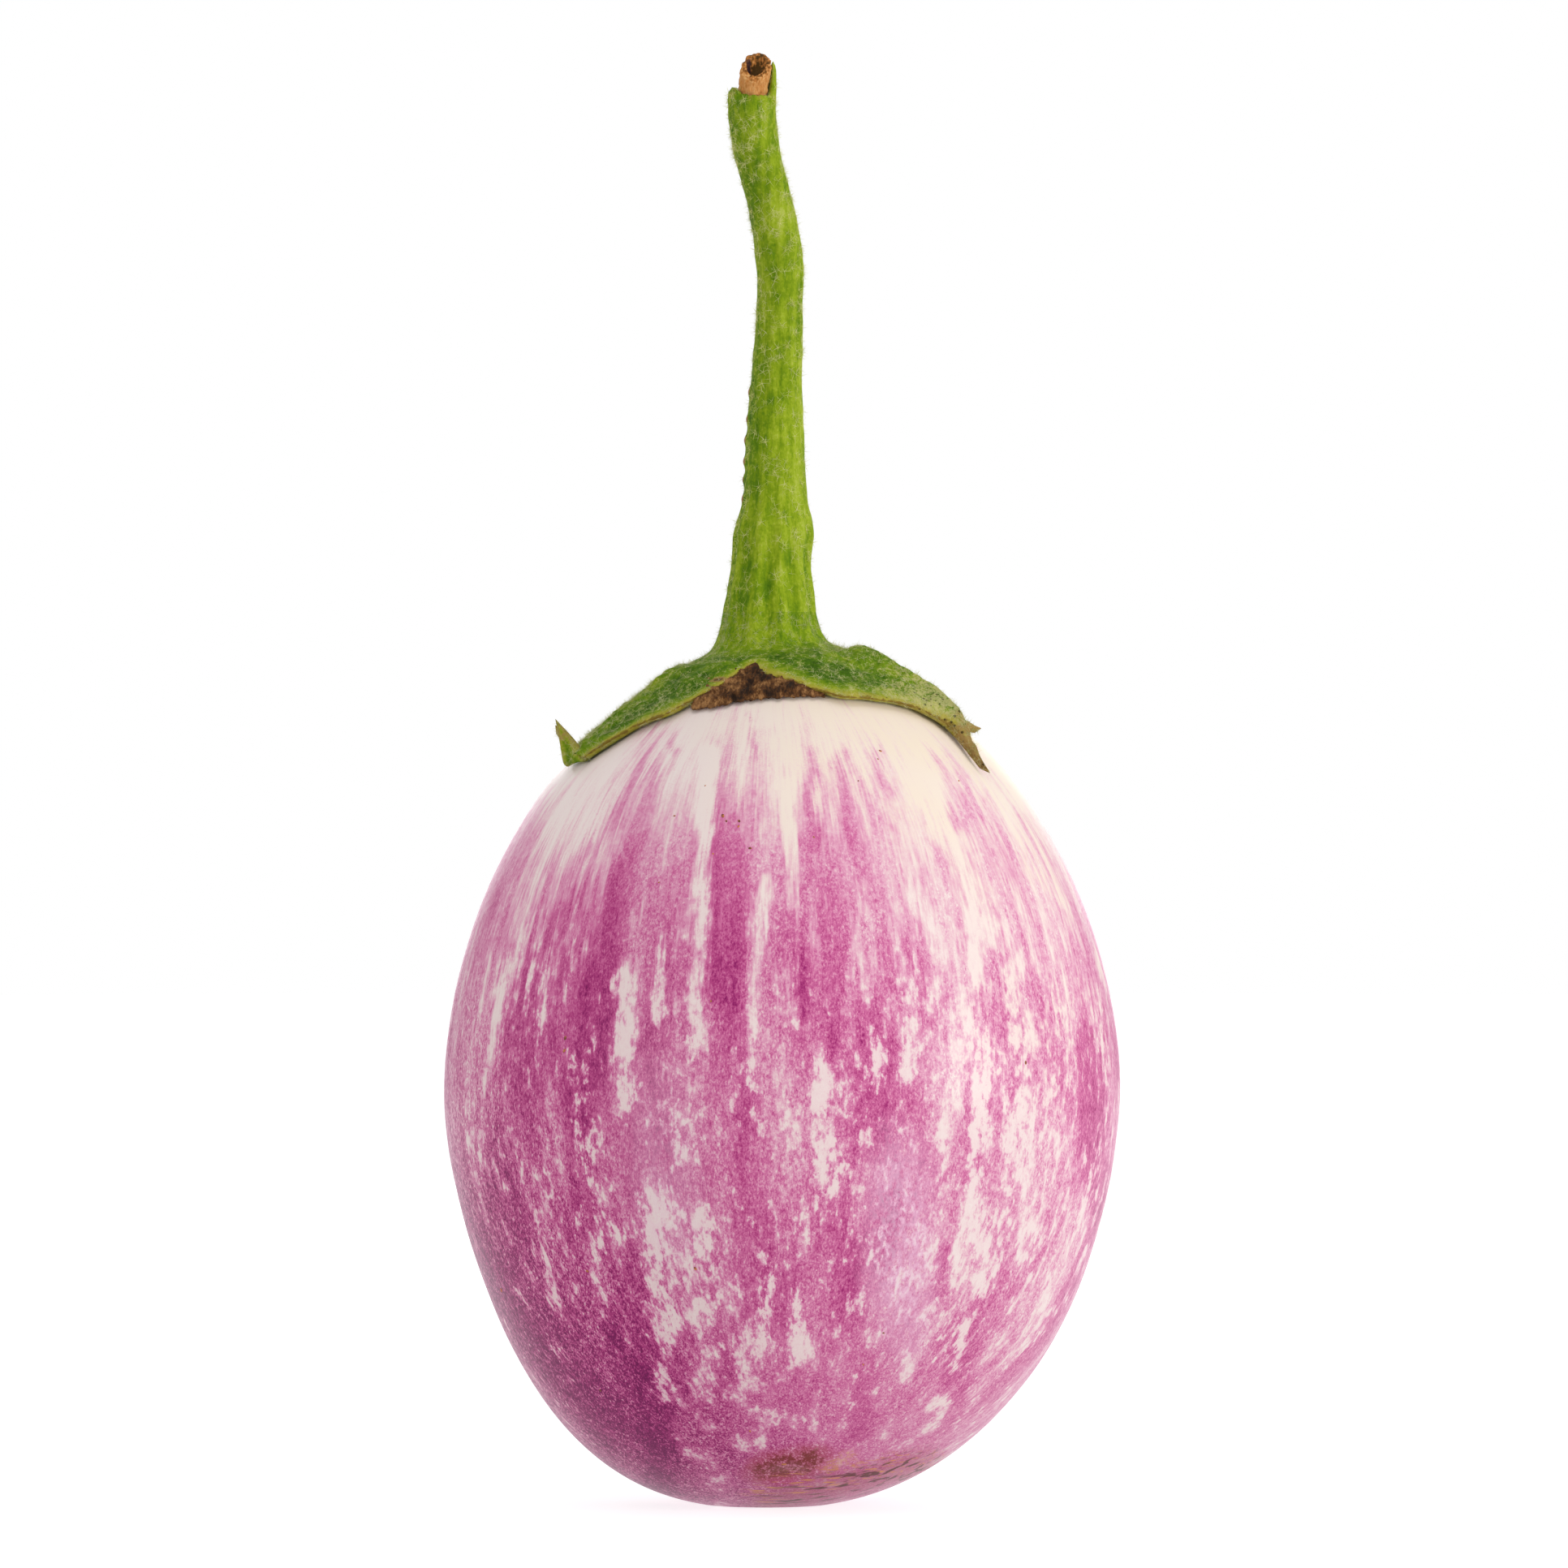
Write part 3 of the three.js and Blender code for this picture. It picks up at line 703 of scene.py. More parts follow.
# Painted highlights as soft pale patches, and the marks round the blossom scar, in the same form
PAINTED_HIGHLIGHT_MARKS = ((1108, 1490, 1110, 1560, 40, 0.62), (818, 1420, 822, 1470, 40, 0.25))
SCAR_MARK = (962, 1806, 984, 1802, 18, 1.0)
TAN_MARK = (1028, 1804, 1042, 1796, 9, 0.8)
SCRATCHED_MARK = (950, 1836, 1130, 1800, 12, 1.0)
BRUISE_MARK = (960, 1850, 1125, 1806, 14, 1.0)
# A drawn mark wanders by so many pixels across and down, over bumps of so many millimetres
WANDER_ACROSS, WANDER_ACROSS_BUMP = 6, 2.4
WANDER_DOWN, WANDER_DOWN_BUMP = 30, 5.0


def camera_aim():
    """The place in the front plane that the camera looks straight at."""
    middle = FRAME_PIXELS / 2
    return (middle - FOOT_PIXEL[0]) * PIXEL, (FOOT_PIXEL[1] - middle) * PIXEL


def photo_pixels(points):
    """Where points of the front are seen in the photograph."""
    nearer = CAMERA_DISTANCE / (CAMERA_DISTANCE + points[:, 1])
    middle = FRAME_PIXELS / 2
    aim_x, aim_z = camera_aim()
    across = middle + (points[:, 0] - aim_x) * nearer / PIXEL
    down = middle - (points[:, 2] - aim_z) * nearer / PIXEL
    return across, down


def stroke(across, down, mark):
    """A mark's strength in its middle, fading to 0 at about twice its half width."""
    x0, y0, x1, y1, half_width, strength = mark
    length = math.hypot(x1 - x0, y1 - y0)
    ux, uy = (x1 - x0) / length, (y1 - y0) / length
    along = (across - x0) * ux + (down - y0) * uy
    aside = (across - x0) * -uy + (down - y0) * ux
    over = np.maximum(np.maximum(-along, along - length), 0) / 2.2
    return (1 - ease(np.hypot(aside, over), half_width * 0.35, half_width * 1.9)) * strength


def strokes_seen(points, marks):
    """Marks of the photograph on the front, with ragged outlines."""
    across, down = photo_pixels(points)
    across = across + WANDER_ACROSS * bumps(points * (1, 1, 0.5), WANDER_ACROSS_BUMP, 51)
    down = down + WANDER_DOWN * bumps(points, WANDER_DOWN_BUMP, 52)
    front = ease(points[:, 1], 4, -3)
    result = np.zeros(len(points))
    for *ends, half_width, strength in marks:
        mark = stroke(across, down, (*ends, half_width * 0.85, strength))
        result = np.maximum(result, mark * front)
    return result


def strokes_unseen(around_mm, down_mm, back, count, seed, widths, lengths, strengths):
    """Marks of the same kind on the side that the photograph doesn't show."""
    chance = random.Random(seed)
    girth = 2 * math.pi * FRUIT_RADIUS
    result = np.zeros(len(back))
    for _ in range(count):
        middle = girth * chance.uniform(0.0, 0.5)
        top = chance.uniform(28, 118)
        length = chance.uniform(*lengths)
        half_width = chance.uniform(*widths)
        strength = chance.uniform(*strengths)
        gap = (around_mm - middle + girth / 2) % girth - girth / 2
        mark = stroke(gap, down_mm, (0, top, 0, top + length, half_width, strength))
        result = np.maximum(result, mark)
    return result * back


def skin_marks(points):
    """What the skin's finish reads at points of the fruit."""
    x, y, z = points.T
    # Stripes run from the calyx to the scar, which lies a little up the front
    top = np.array([*CALYX_CENTRE, STRIPE_TOP_Z])
    share = np.clip((top[2] - z) / (top[2] - SCAR[2]), 0, 1) ** 4
    angle = np.arctan2(y - lerp(top[1], SCAR[1], share), x - lerp(top[0], SCAR[0], share))
    from_top = np.linalg.norm(points - top, axis=1)
    from_scar = np.linalg.norm(points - SCAR, axis=1)
    down = 2 * np.arctan2(from_top, from_scar) * STRIPE_RADIUS

    # Marks of the front, and others for the back
    back = ease(y, -2, 4)
    around_mm = angle * FRUIT_RADIUS % (2 * math.pi * FRUIT_RADIUS)
    bare_back = strokes_unseen(around_mm, down, back, 42, 5, (0.5, 1.7), (3, 17), (0.5, 1.0))
    deep_back = strokes_unseen(around_mm, down, back, 22, 9, (1.2, 2.6), (6, 22), (0.3, 0.7))
    bare = np.maximum(strokes_seen(points, BARE_MARKS), bare_back)
    deep_seen = strokes_seen(points, DEEP_MARKS)

    # Deeper at the lower left and the left side, as painted shade, and lighter in the middle of the
    # right half, as painted light
    lower_left = ease(-x * 0.8 - z * 0.62, -16, 16)
    deep = np.maximum(deep_seen, deep_back)
    deep = deep + 0.8 * lower_left * ease(z, 66, 30)
    deep = deep - 0.6 * ease(x, -4, 24) * ease(x, 40, 28) * lerp(0.7, 1.0, ease(z, 22, 48))
    deep = deep + 0.1 * ease(x, 0, -26) * ease(z, 80, 56) - 0.4 * ease(x, -27, -36) * ease(z, 34, 52)
    right = ease(x, -4, 20) * ease(x, 39, 30) * ease(down, 38, 60) * ease(z, 18, 44)

    age = ease(down, 30, 92)
    cream = 0.72 * ease(down, 50, 18) ** 0.8 * (1 - 0.3 * ease(x, -5, -25))
    # Painted light and shade: more of the cream ground shows in the middle of the right half and less at
    # the lower left
    scatter = 0.24 + 0.04 * ease(down, 45, 75) + 0.16 * right - 0.18 * lower_left
    pixels = photo_pixels(points)
    facing = ease(y, 2, -4)
    return {
        "streak": joined(np.cos(angle), np.sin(angle), down / FRUIT_RADIUS),
        "pale": scatter + cream + 0.52 * bare - 0.34 * deep_seen * ease(down, 60, 40),
        "warm": 0.7 * ease(down, 60, 25) * ease(x, -14, 2) + 0.3 * ease(x, 12, 26) * ease(z, 40, 62),
        "deep": deep,
        "age": age,
        "streaky": (0.72 + 0.4 * ease(down, 35, 65) - 0.7 * age) * ease(from_scar, 12, 34),
        "zoned": ease(from_scar, 6, 30),
        "drawn": 0.2 + 0.8 * ease(from_scar, 10, 30),
        "wash": lerp(0.42, 1.0, ease(down, 22, 72)),
        "grainy": lower_left,
        # Painted highlights, as pale patches
        "painted_highlight": 0.8 * strokes_seen(points, PAINTED_HIGHLIGHT_MARKS),
        "scar": stroke(*pixels, SCAR_MARK) * facing,
        "tan": stroke(*pixels, TAN_MARK) * facing,
        "scratched": stroke(*pixels, SCRATCHED_MARK) * facing,
        "bruise": stroke(*pixels, BRUISE_MARK) * facing,
    }


def fruit_skin():
    """The whole fruit, very slightly uneven as any grown skin is, with a dent at the scar."""
    columns, rows, foot_rows = 384, 220, 8
    bm, column, row = closed_grid(columns, rows)
    body_rows = rows - foot_rows
    v = np.where(row <= body_rows, row / body_rows * 2, 2 + (row - rows + foot_rows) / foot_rows)
    points = fruit_points(column / columns * 360, v)
    x, y, z = points.T
    free = ease(np.hypot(x, y), 27, 31) * ease(z, 4, 16) + ease(z, 60, 50) * ease(z, 4, 16)
    uneven = bumps(points, 17, 3, 2) * 0.16 * np.clip(free, 0, 1)
    outward = joined(x, y, (z - WIDEST_Z) * 0.65)
    outward /= np.linalg.norm(outward, axis=1, keepdims=True)
    to_scar = np.linalg.norm((points - SCAR) / SCAR_SPREAD, axis=1)
    dent = 0.25 * bell(to_scar, 0.55) - 0.08 * bell(to_scar - 1, 0.35)
    moved = points + outward * (uneven - dent)[:, None]
    moved[:, 2] = np.maximum(moved[:, 2], 0)
    move_points(bm, moved)
    return finished_piece("fruit_skin", bm, skin_finish(), ["fruit"], skin_marks(points))


# Small scabs and dots on the front, as pixels of the photograph with half a width in millimetres
SPECKS = (
    (829, 1006, 0.14),
    (812, 1090, 0.12),
    (892, 1006, 0.26),
    (894, 1009, 0.16),
    (910, 1011, 0.2),
    (910, 1018, 0.18),
    (922, 1045, 0.2),
    (878, 1053, 0.13),
    (1085, 927, 0.2),
    (1081, 937, 0.12),
    (1056, 963, 0.12),
    (1180, 962, 0.14),
    (1001, 1033, 0.14),
    (695, 1278, 0.26),
    (693, 1292, 0.24),
    (856, 1563, 0.22),
    (725, 1567, 0.2),
    (618, 1588, 0.3),
    (1263, 1313, 0.22),
    (739, 1712, 0.16),
    (926, 1762, 0.16),
    (1091, 1643, 0.14),
    (1064, 1682, 0.14),
    (967, 1803, 0.3),
    (870, 969, 0.1),
    (878, 1230, 0.14),
)


def skin_specks(fruit):
    """Dots of dried sap, as low domes on the front of the fruit."""
    chance = random.Random(61)
    beyond_reach = 1e6  # added to the distance of points at the back, so that none is picked
    points = np.array([vert.co for vert in fruit.data.vertices]) / MM
    across, down = photo_pixels(points)
    hidden = np.where(points[:, 1] > 0, beyond_reach, 0)
    bm = bmesh.new()
    for x, y, size in SPECKS:
        vert = fruit.data.vertices[int(np.argmin(np.hypot(across - x, down - y) + hidden))]
        dome = bmesh.ops.create_icosphere(bm, subdivisions=2, radius=1)
        spin = Matrix.Rotation(chance.uniform(0, LARGEST_SPIN), 4, "Z")
        turn = vert.normal.to_track_quat("Z", "Y").to_matrix().to_4x4()
        move = Matrix.Translation(vert.co) @ turn @ spin @ Matrix.Scale(MM, 4)
        shape = Matrix.Diagonal((size * 1.05, size * 0.7, 0.06, 1))
        bmesh.ops.transform(bm, matrix=move @ shape, verts=dome["verts"])
    sap = Finish("dried_sap")
    tone = sap.noise(sap.place(), 2.0, detail=3)
    brown = sap.mix(sap.span(tone, 0.38, 0.62), paint(112, 54, 26), paint(200, 120, 66))
    sap.set(Base_Color=brown, Roughness=0.6)
    return finished_piece("skin_specks", bm, sap.material)


# Calyx


LEAF_GREENS = (
    (0.0, (40, 66, 0)),
    (0.3, (70, 108, 2)),
    (0.55, (108, 138, 8)),
    (0.8, (150, 164, 36)),
    (1.0, (182, 182, 84)),
)
STALK_GREENS = (
    (0.0, (62, 98, 0)),
    (0.3, (92, 128, 2)),
    (0.55, (126, 152, 8)),
    (0.8, (156, 176, 34)),
    (1.0, (182, 192, 84)),
)


def green_finish():
    """Felted green of the calyx, with a thin dry margin, and the ribbed yellow-green of the stem."""
    green = Finish("felted_green")
    place = green.place()
    leaf = green.attribute("leaf")  # 0 on the stem to 1 on the leaf
    # On the stalk this tone holds painted light and shade
    tone_here = green.attribute("tone")
    felt_and_sheen_here = green.attribute("felt_and_sheen")
    patchy = green.noise(place, 0.16, detail=3)
    mottle = green.noise(place, 0.7, detail=4, rough=0.65)
    fuzz = green.noise(place, 3.4, detail=4, rough=0.75)
    crust = green.noise(place, 1.8, detail=4, rough=0.7)
    fibre = green.noise(green.stretched(place, (1, 1, 0.3)), 5.5, detail=2, distortion=0.6)
    ribs = green.noise(green.stretched(place, (1, 1, 0.07)), 1.5, detail=3)

    tone = green.total(tone_here, (patchy, 0.9), (mottle, 0.8), (crust, 0.6), (fuzz, 0.6))
    leafy = green.ramp(tone, LEAF_GREENS)
    striped = green.total(tone_here, (ribs, 0.9), (patchy, 1.0), (fibre, 0.5))
    tone = green.total(striped, (mottle, 0.6), (fuzz, 0.5))
    stalky = green.ramp(tone, STALK_GREENS)
    colour = green.mix(leaf, stalky, leafy)
    # Pale felt, with painted sheen on the stalk's left and right sides
    felt_and_sheen = green.total(felt_and_sheen_here, (fuzz, 1.8), (fibre, 1.0), (crust, 2.8), (mottle, 0.8))
    felt_and_sheen_colour = green.mix(leaf, paint(172, 182, 70), paint(194, 186, 126))
    colour = green.mix(green.span(felt_and_sheen, 0.38, 1.05, 0.0, 0.75), colour, felt_and_sheen_colour)

    # The thin margin, yellow and then brown, dry ends, scabs on the stem and dark specks
    near_edge = green.total(green.attribute("edge"), (mottle, 1.4), (fuzz, 0.6))
    rim = green.calc("MULTIPLY", green.span(near_edge, 1.0, 0.2, 0.0, 0.8), leaf)
    colour = green.mix(rim, colour, paint(176, 162, 60))
    rim = green.calc("MULTIPLY", green.span(near_edge, 0.22, 0.02, 0.0, 0.7), leaf)
    colour = green.mix(rim, colour, paint(104, 66, 26))
    dryness = green.total(green.attribute("dry"), (mottle, 1.1), (fuzz, 0.7))
    colour = green.mix(green.span(dryness, 0.35, 0.8, 0.0, 0.9), colour, paint(160, 128, 74))
    colour = green.mix(green.span(dryness, 0.85, 1.2, 0.0, 0.8), colour, paint(84, 56, 32))
    scab = green.total(green.attribute("scab"), (fuzz, 0.6))
    colour = green.mix(green.span(scab, 0.4, 0.8, 0.0, 0.8), colour, paint(176, 124, 96))
    specks = green.calc("MULTIPLY_ADD", felt_and_sheen_here, -0.27, green.cells(place, 1.1))
    colour = green.mix(green.span(specks, -0.02, -0.08, 0.0, 0.85), colour, paint(48, 36, 16))

    relief = green.total(0.0, (mottle, 0.6), (crust, 0.5), (fuzz, 0.4), (fibre, 0.3))
    green.bump(relief, 0.8, 0.3)
    green.set(Base_Color=colour, Roughness=0.72, Specular_IOR_Level=0.12)
    return green.material


def side_veins(reach, direction):
    """Low veins that leave the midrib of each lobe at a slant."""
    height = np.zeros(len(reach))
    for lobe in LOBES:
        turn = np.radians(turn_between(lobe["at"], direction))
        along = reach * np.cos(turn)
        aside = np.abs(reach * np.sin(turn))
        on_lobe = np.where(np.cos(turn) > 0.5, 1.0, 0.0)
        midrib = bell(aside, 0.45)
        slanted = (along - aside * 0.9) / 3.1
        branch = bell(slanted - np.round(slanted), 0.13) * ease(aside, 7, 1) * ease(aside, 0.1, 0.8)
        height += on_lobe * (0.22 * midrib + 0.13 * branch) * ease(along, 8, 12)
    return height


def calyx_flare(reach, direction, seam):
    """Points of the flare, which falls steeply from the seam with the stem to the hub of the leaf."""

    def hub_z(at_reach):
        return over_skin(*around(CALYX_CENTRE, at_reach, direction), UNDERSIDE + FLESH_HUB)[:, 2]

    rise = (SEAM_Z - hub_z(seam)) * np.exp((seam - reach) / FLARE_LENGTH)
    return joined(*around(CALYX_CENTRE, reach, direction), hub_z(reach) + rise)


def calyx_marks(points, reach, direction, margin, on_leaf):
    """What the green finish reads at each point of the calyx."""
    from_right = np.abs(turn_between(FRONT_RIGHT["at"], direction))
    from_left = np.abs(turn_between(FRONT_LEFT["at"], direction))
    from_edge = margin - reach
    ridge = bell(turn_between(2, direction), 22) * ease(reach, 7, 14)
    behind = ease(points[:, 1], -8.5, -1)
    right_end = ease(from_right, 44, 10) * ease(reach, 13.5, 20)

    # Dry tips, and one dry blotch left of the split
    along_tip = ease(reach, CAP_REACH + 2, CAP_REACH + 10)
    blotch = bell(np.radians(turn_between(245, direction)) * 13, 1.1) * bell(reach - 13, 0.45)
    dry = 0.9 * along_tip * ease(from_right, 26, 4)
    dry += 0.55 * along_tip * ease(from_left, 30, 4) * ease(reach, 23, 28)
    dry += 0.5 * ease(reach, 20, 26) * ease(from_right, 10, 40) * ease(from_left, 10, 40)
    dry += 0.35 * ridge * ease(reach, 15, 22) + 1.3 * blotch

    tone = CALYX_TONE + 0.1 * ease(from_right, 50, 15) + 0.14 * ease(reach, 22, 28)
    tone += 0.24 * ease(from_edge, 2.6, 0.6) - 0.12 * bell(from_edge - 4, 1.8)
    return {
        "edge": np.maximum(from_edge, 0),
        "leaf": np.maximum(ease(reach, 6.0, 9.0), on_leaf),
        "dry": dry,
        "tone": lerp(tone, CALYX_TONE, ease(reach, 9.5, 6)),
        "felt_and_sheen": 0.26 + 0.2 * ridge + 0.25 * behind * ease(reach, 7, 12) + 0.6 * right_end,
    }


def calyx_cap(material):
    """The green cap: a flare down from the stem, five lobes over the shoulder, and its underside."""
    columns, rows = 620, 132
    flare_rows, leaf_rows = 26, 70
    under_from = 2.0001  # just past the margin, so that the margin's own row is a top row
    bm, column, row = closed_grid(columns, rows)
    direction = margin_directions(columns)[column]
    wave = bumps(joined(*around((0, 0), 14, direction), 0), 2.2, 6)
    margin = leaf_margin(direction) + 0.28 * wave
    in_flare = row / flare_rows
    in_leaf = 1 + (row - flare_rows) / leaf_rows
    under = under_from + (row - flare_rows - leaf_rows) / (rows - flare_rows - leaf_rows)
    v = np.where(row <= flare_rows, in_flare, np.where(row <= flare_rows + leaf_rows, in_leaf, under))
    seam = stem_radius(direction, SEAM_Z)

    flare_reach = lerp(seam, FLARE_REACH, np.clip(v, 0, 1) ** 2)
    leaf_reach = lerp(FLARE_REACH, margin, 1 - (1 - np.clip(v - 1, 0, 1)) ** 1.4)
    under_reach = margin * np.clip(under_from + 1 - v, 0, 1)
    reach = np.where(v <= 1, flare_reach, np.where(v <= 2, leaf_reach, under_reach))
    thickness = calyx_thickness(reach, direction, margin)
    smooth_points = calyx_points(reach, direction, UNDERSIDE + thickness)
    inner = ease(margin - reach, 0, 2.2) * ease(reach, 6.2, 9.5)
    lumps = bumps(smooth_points, 2.6, 1) * 0.30 + bumps(smooth_points, 0.9, 2, 2) * 0.10
    above = np.where(v > 2, 0, thickness + (lumps + side_veins(reach, direction)) * inner)
    edge_lift = np.where(v > 2, 0, 0.16 * np.abs(wave) * ease(margin - reach, 1.6, 0))
    points = calyx_points(reach, direction, UNDERSIDE + above + edge_lift)

    flare = calyx_flare(reach, direction, seam)
    flare[:, 2] += lumps * inner
    points = np.where((v <= 1)[:, None], flare, points)
    # The first ring of rows is the seam itself, and the first row its middle
    ring = row == 1
    points[ring] = joined(*around(CALYX_CENTRE, seam[ring], direction[ring]), SEAM_Z)
    points[row == 0] = (*CALYX_CENTRE, SEAM_Z)
    move_points(bm, points)
    crease_row(bm, row, 1)
    marks = calyx_marks(points, reach, direction, margin, ease(v, 1, 1.1))
    return finished_piece("calyx_cap", bm, material, ["calyx"], marks)


# Stem


def stalk(material):
    """The bowed green stalk, from its ribbed foot on the calyx to its torn rim and empty socket."""
    columns, rows = 144, 470
    socket_rows, foot_rows = 14, 3
    bm, column, row = closed_grid(columns, rows)
    direction = column / columns * 360
    rim = torn_z(direction) + 0.22 * bumps(joined(*around((0, 0), 3, direction), 0), 0.55, 12)
    z = lerp(rim, SEAM_Z, np.clip((row - socket_rows) / (rows - socket_rows - foot_rows), 0, 1))
    centre = stem_centre(z)
    radius = stem_radius(direction, z)

    # Ridges along it, lumps and a line of small scabs
    x, y = around(centre, radius, direction)
    drawn_out = joined(x, y, z * 0.12)
    ridges = bumps(drawn_out, 0.9, 21, 2) * 0.10 + bumps(drawn_out, 2.4, 22, 2) * 0.12
    lumps = bumps(joined(x, y, z), 3.2, 23, 2) * 0.08
    scab = np.zeros(len(z))
    for pimple_z, pimple_at in PIMPLES:
        beside = radius * np.radians(turn_between(pimple_at, direction))
        scab = np.maximum(scab, bell(np.hypot((z - pimple_z) * 0.8, beside), 0.5))
    radius = radius + (ridges + lumps) * ease(z, SEAM_Z, SEAM_Z + 2.5) + 0.28 * scab

    # The rim is rounded off, most of all at the front
    front = bell(turn_between(270, direction), 60)
    rounded = ease(z, rim - 0.7 - 1.1 * front, rim) ** 2
    radius = radius - 0.32 * ease(z, TORN_Z + 0.4, TORN_Z + 4) - (0.3 + 0.28 * front) * rounded
    points = joined(*around(centre, radius, direction), z)

    # Inside the socket, from its floor up to the rim
    inside = row < socket_rows
    level = np.clip((row - 2) / (socket_rows - 3), 0, 1)
    socket_z = lerp(SOCKET_FLOOR, rim - 0.05, level)
    socket_reach = (SOCKET_RADIUS + 0.1 * level) * np.clip(row / 2, 0, 1)
    socket = joined(*around(stem_centre(socket_z), socket_reach, direction), socket_z)
    points = np.where(inside[:, None], socket, points)

    # The foot closes flat on the seam
    foot_reach = stem_radius(direction, SEAM_Z) * (rows - row) / foot_rows
    foot = joined(*around(stem_centre(SEAM_Z), foot_reach, direction), SEAM_Z)
    points = np.where((row > rows - foot_rows)[:, None], foot, points)
    move_points(bm, points)
    crease_row(bm, row, rows - foot_rows)

    # Painted light and shade: lighter on the front-right side, darker on the back-left, and darker in
    # the grooves between the ribs near the foot
    painted_light_and_shade = 0.12 * np.cos(np.radians(direction + 25)) + 0.06 * bell(turn_between(300, direction), 40)
    painted_light_and_shade += 0.1 * np.cos(np.radians(RIB_COUNT * direction + RIB_PHASE)) * ease(z, 122, 112)
    # Painted sheen: pale felt laid on the stalk's left and right sides, as fuzz looks at a grazing angle
    painted_sheen_left = np.maximum(-np.cos(np.radians(direction)), 0) ** 3
    painted_sheen_right = np.maximum(np.cos(np.radians(direction)), 0) ** 3
    marks = {
        "leaf": np.zeros(len(z)),
        "edge": np.full(len(z), 9.0),  # far from any margin
        "dry": 0.4 * np.maximum(ease(z, rim - 2.0, rim - 0.8), inside * 0.9),
        "tone": STALK_TONE + painted_light_and_shade,
        "felt_and_sheen": 0.13 + 0.48 * painted_sheen_left + 0.3 * painted_sheen_right + 0.06 * ease(z, 145, 160),
        "scab": scab,
    }
    return finished_piece("stalk", bm, material, ["stem"], marks)


# Dry wood and torn tissue


# Dark, middle and light
WOOD_TANS = ((0.0, (84, 56, 14)), (0.5, (200, 128, 60)), (1.0, (236, 184, 118)))
TORN_BROWNS = ((0.0, (40, 22, 8)), (0.5, (100, 62, 28)), (1.0, (176, 128, 78)))


def dry_finish(name, colours, contrast, along):
    """Dry brown tissue, with fibres along its length and a dark stain where one is marked."""
    dry = Finish(name)
    place = dry.place()
    fibre = dry.noise(dry.stretched(place, along), 4.5, detail=4, rough=0.7)
    mottle = dry.noise(place, 0.9, detail=4, rough=0.7)
    tone = dry.total(0.5, (fibre, 1.3 * contrast), (mottle, 0.9 * contrast))
    tone = dry.calc("SUBTRACT", tone, dry.attribute("shade"))
    colour = dry.ramp(tone, colours)
    stain = dry.total(dry.attribute("stain"), (mottle, 0.9))
    colour = dry.mix(dry.span(stain, 0.4, 0.8, 0.0, 0.85), colour, paint(44, 20, 34))
    relief = dry.total(0.0, (fibre, 0.8), (mottle, 0.5))
    dry.bump(relief, 0.9, 0.3)
    dry.set(Base_Color=colour, Roughness=0.85, Specular_IOR_Level=0.25)
    return dry.material


def dry_stub(material):
    """The woody stub in the stalk's socket, with a hollow in its slanting cut face."""
    columns, rows = 96, 110
    pit_rows, cut_rows, foot_rows = 22, 18, 2
    face_rows = pit_rows + cut_rows
    bm, column, row = closed_grid(columns, rows)
    direction = column / columns * 360
    towards_back = np.sin(np.radians(direction))
    pit_share = np.clip(row / pit_rows, 0, 1)
    cut_share = np.clip((row - pit_rows) / cut_rows, 0, 1)
    side_share = np.clip((row - face_rows) / (rows - face_rows - foot_rows), 0, 1)
    pit_reach = PIT_RADIUS * np.sin(pit_share * np.pi / 2)
    reach = np.where(row <= pit_rows, pit_reach, lerp(PIT_RADIUS, CORE_RADIUS, cut_share))
    cut = CORE_MIDDLE + CORE_SLOPE * reach / CORE_RADIUS * towards_back
    pit = PIT_DEPTH * (1 - pit_share**2.5) * (row <= pit_rows)
    side_z = lerp(cut - CORE_ROUND, SOCKET_FLOOR + 0.3, side_share)
    face = row <= face_rows
    z = np.where(face, cut - pit - CORE_ROUND * cut_share**3, side_z)
    reach = np.where(row > rows - foot_rows, reach * (rows - row) / foot_rows, reach)

    # Crumbling fibres, except where the socket holds it
    centre = stem_centre(z)
    smooth_points = joined(*around(centre, reach, direction), z)
    rough = bumps(smooth_points, 0.55, 31) * 0.10 + bumps(smooth_points * (1, 1, 0.3), 0.7, 32, 2) * 0.08
    held = ease(z, 159, 162)
    x, y = around(centre, reach * (1 + rough * 0.8 * held), direction)
    points = joined(x, y, z + rough * held * face * 1.1)
    move_points(bm, points)

    crumbs = bumps(points, 0.32, 33) * ease(reach, 0.5, 0.9)
    shade = 0.5 * ease(reach, 1.1, 0.75) + 0.24 * ease(towards_back, -0.3, 0.6) + 0.7 * crumbs
    shade = np.where(face, shade - 0.25 * ease(cut_share, 0.6, 1) + 0.05, -0.14)
    stain = bell(np.hypot(x - centre[0] + 0.95, y - centre[1] - 0.45), 0.5) * face
    marks = {"shade": shade, "stain": stain}
    return finished_piece("dry_stub", bm, material, ["stem_core"], marks)


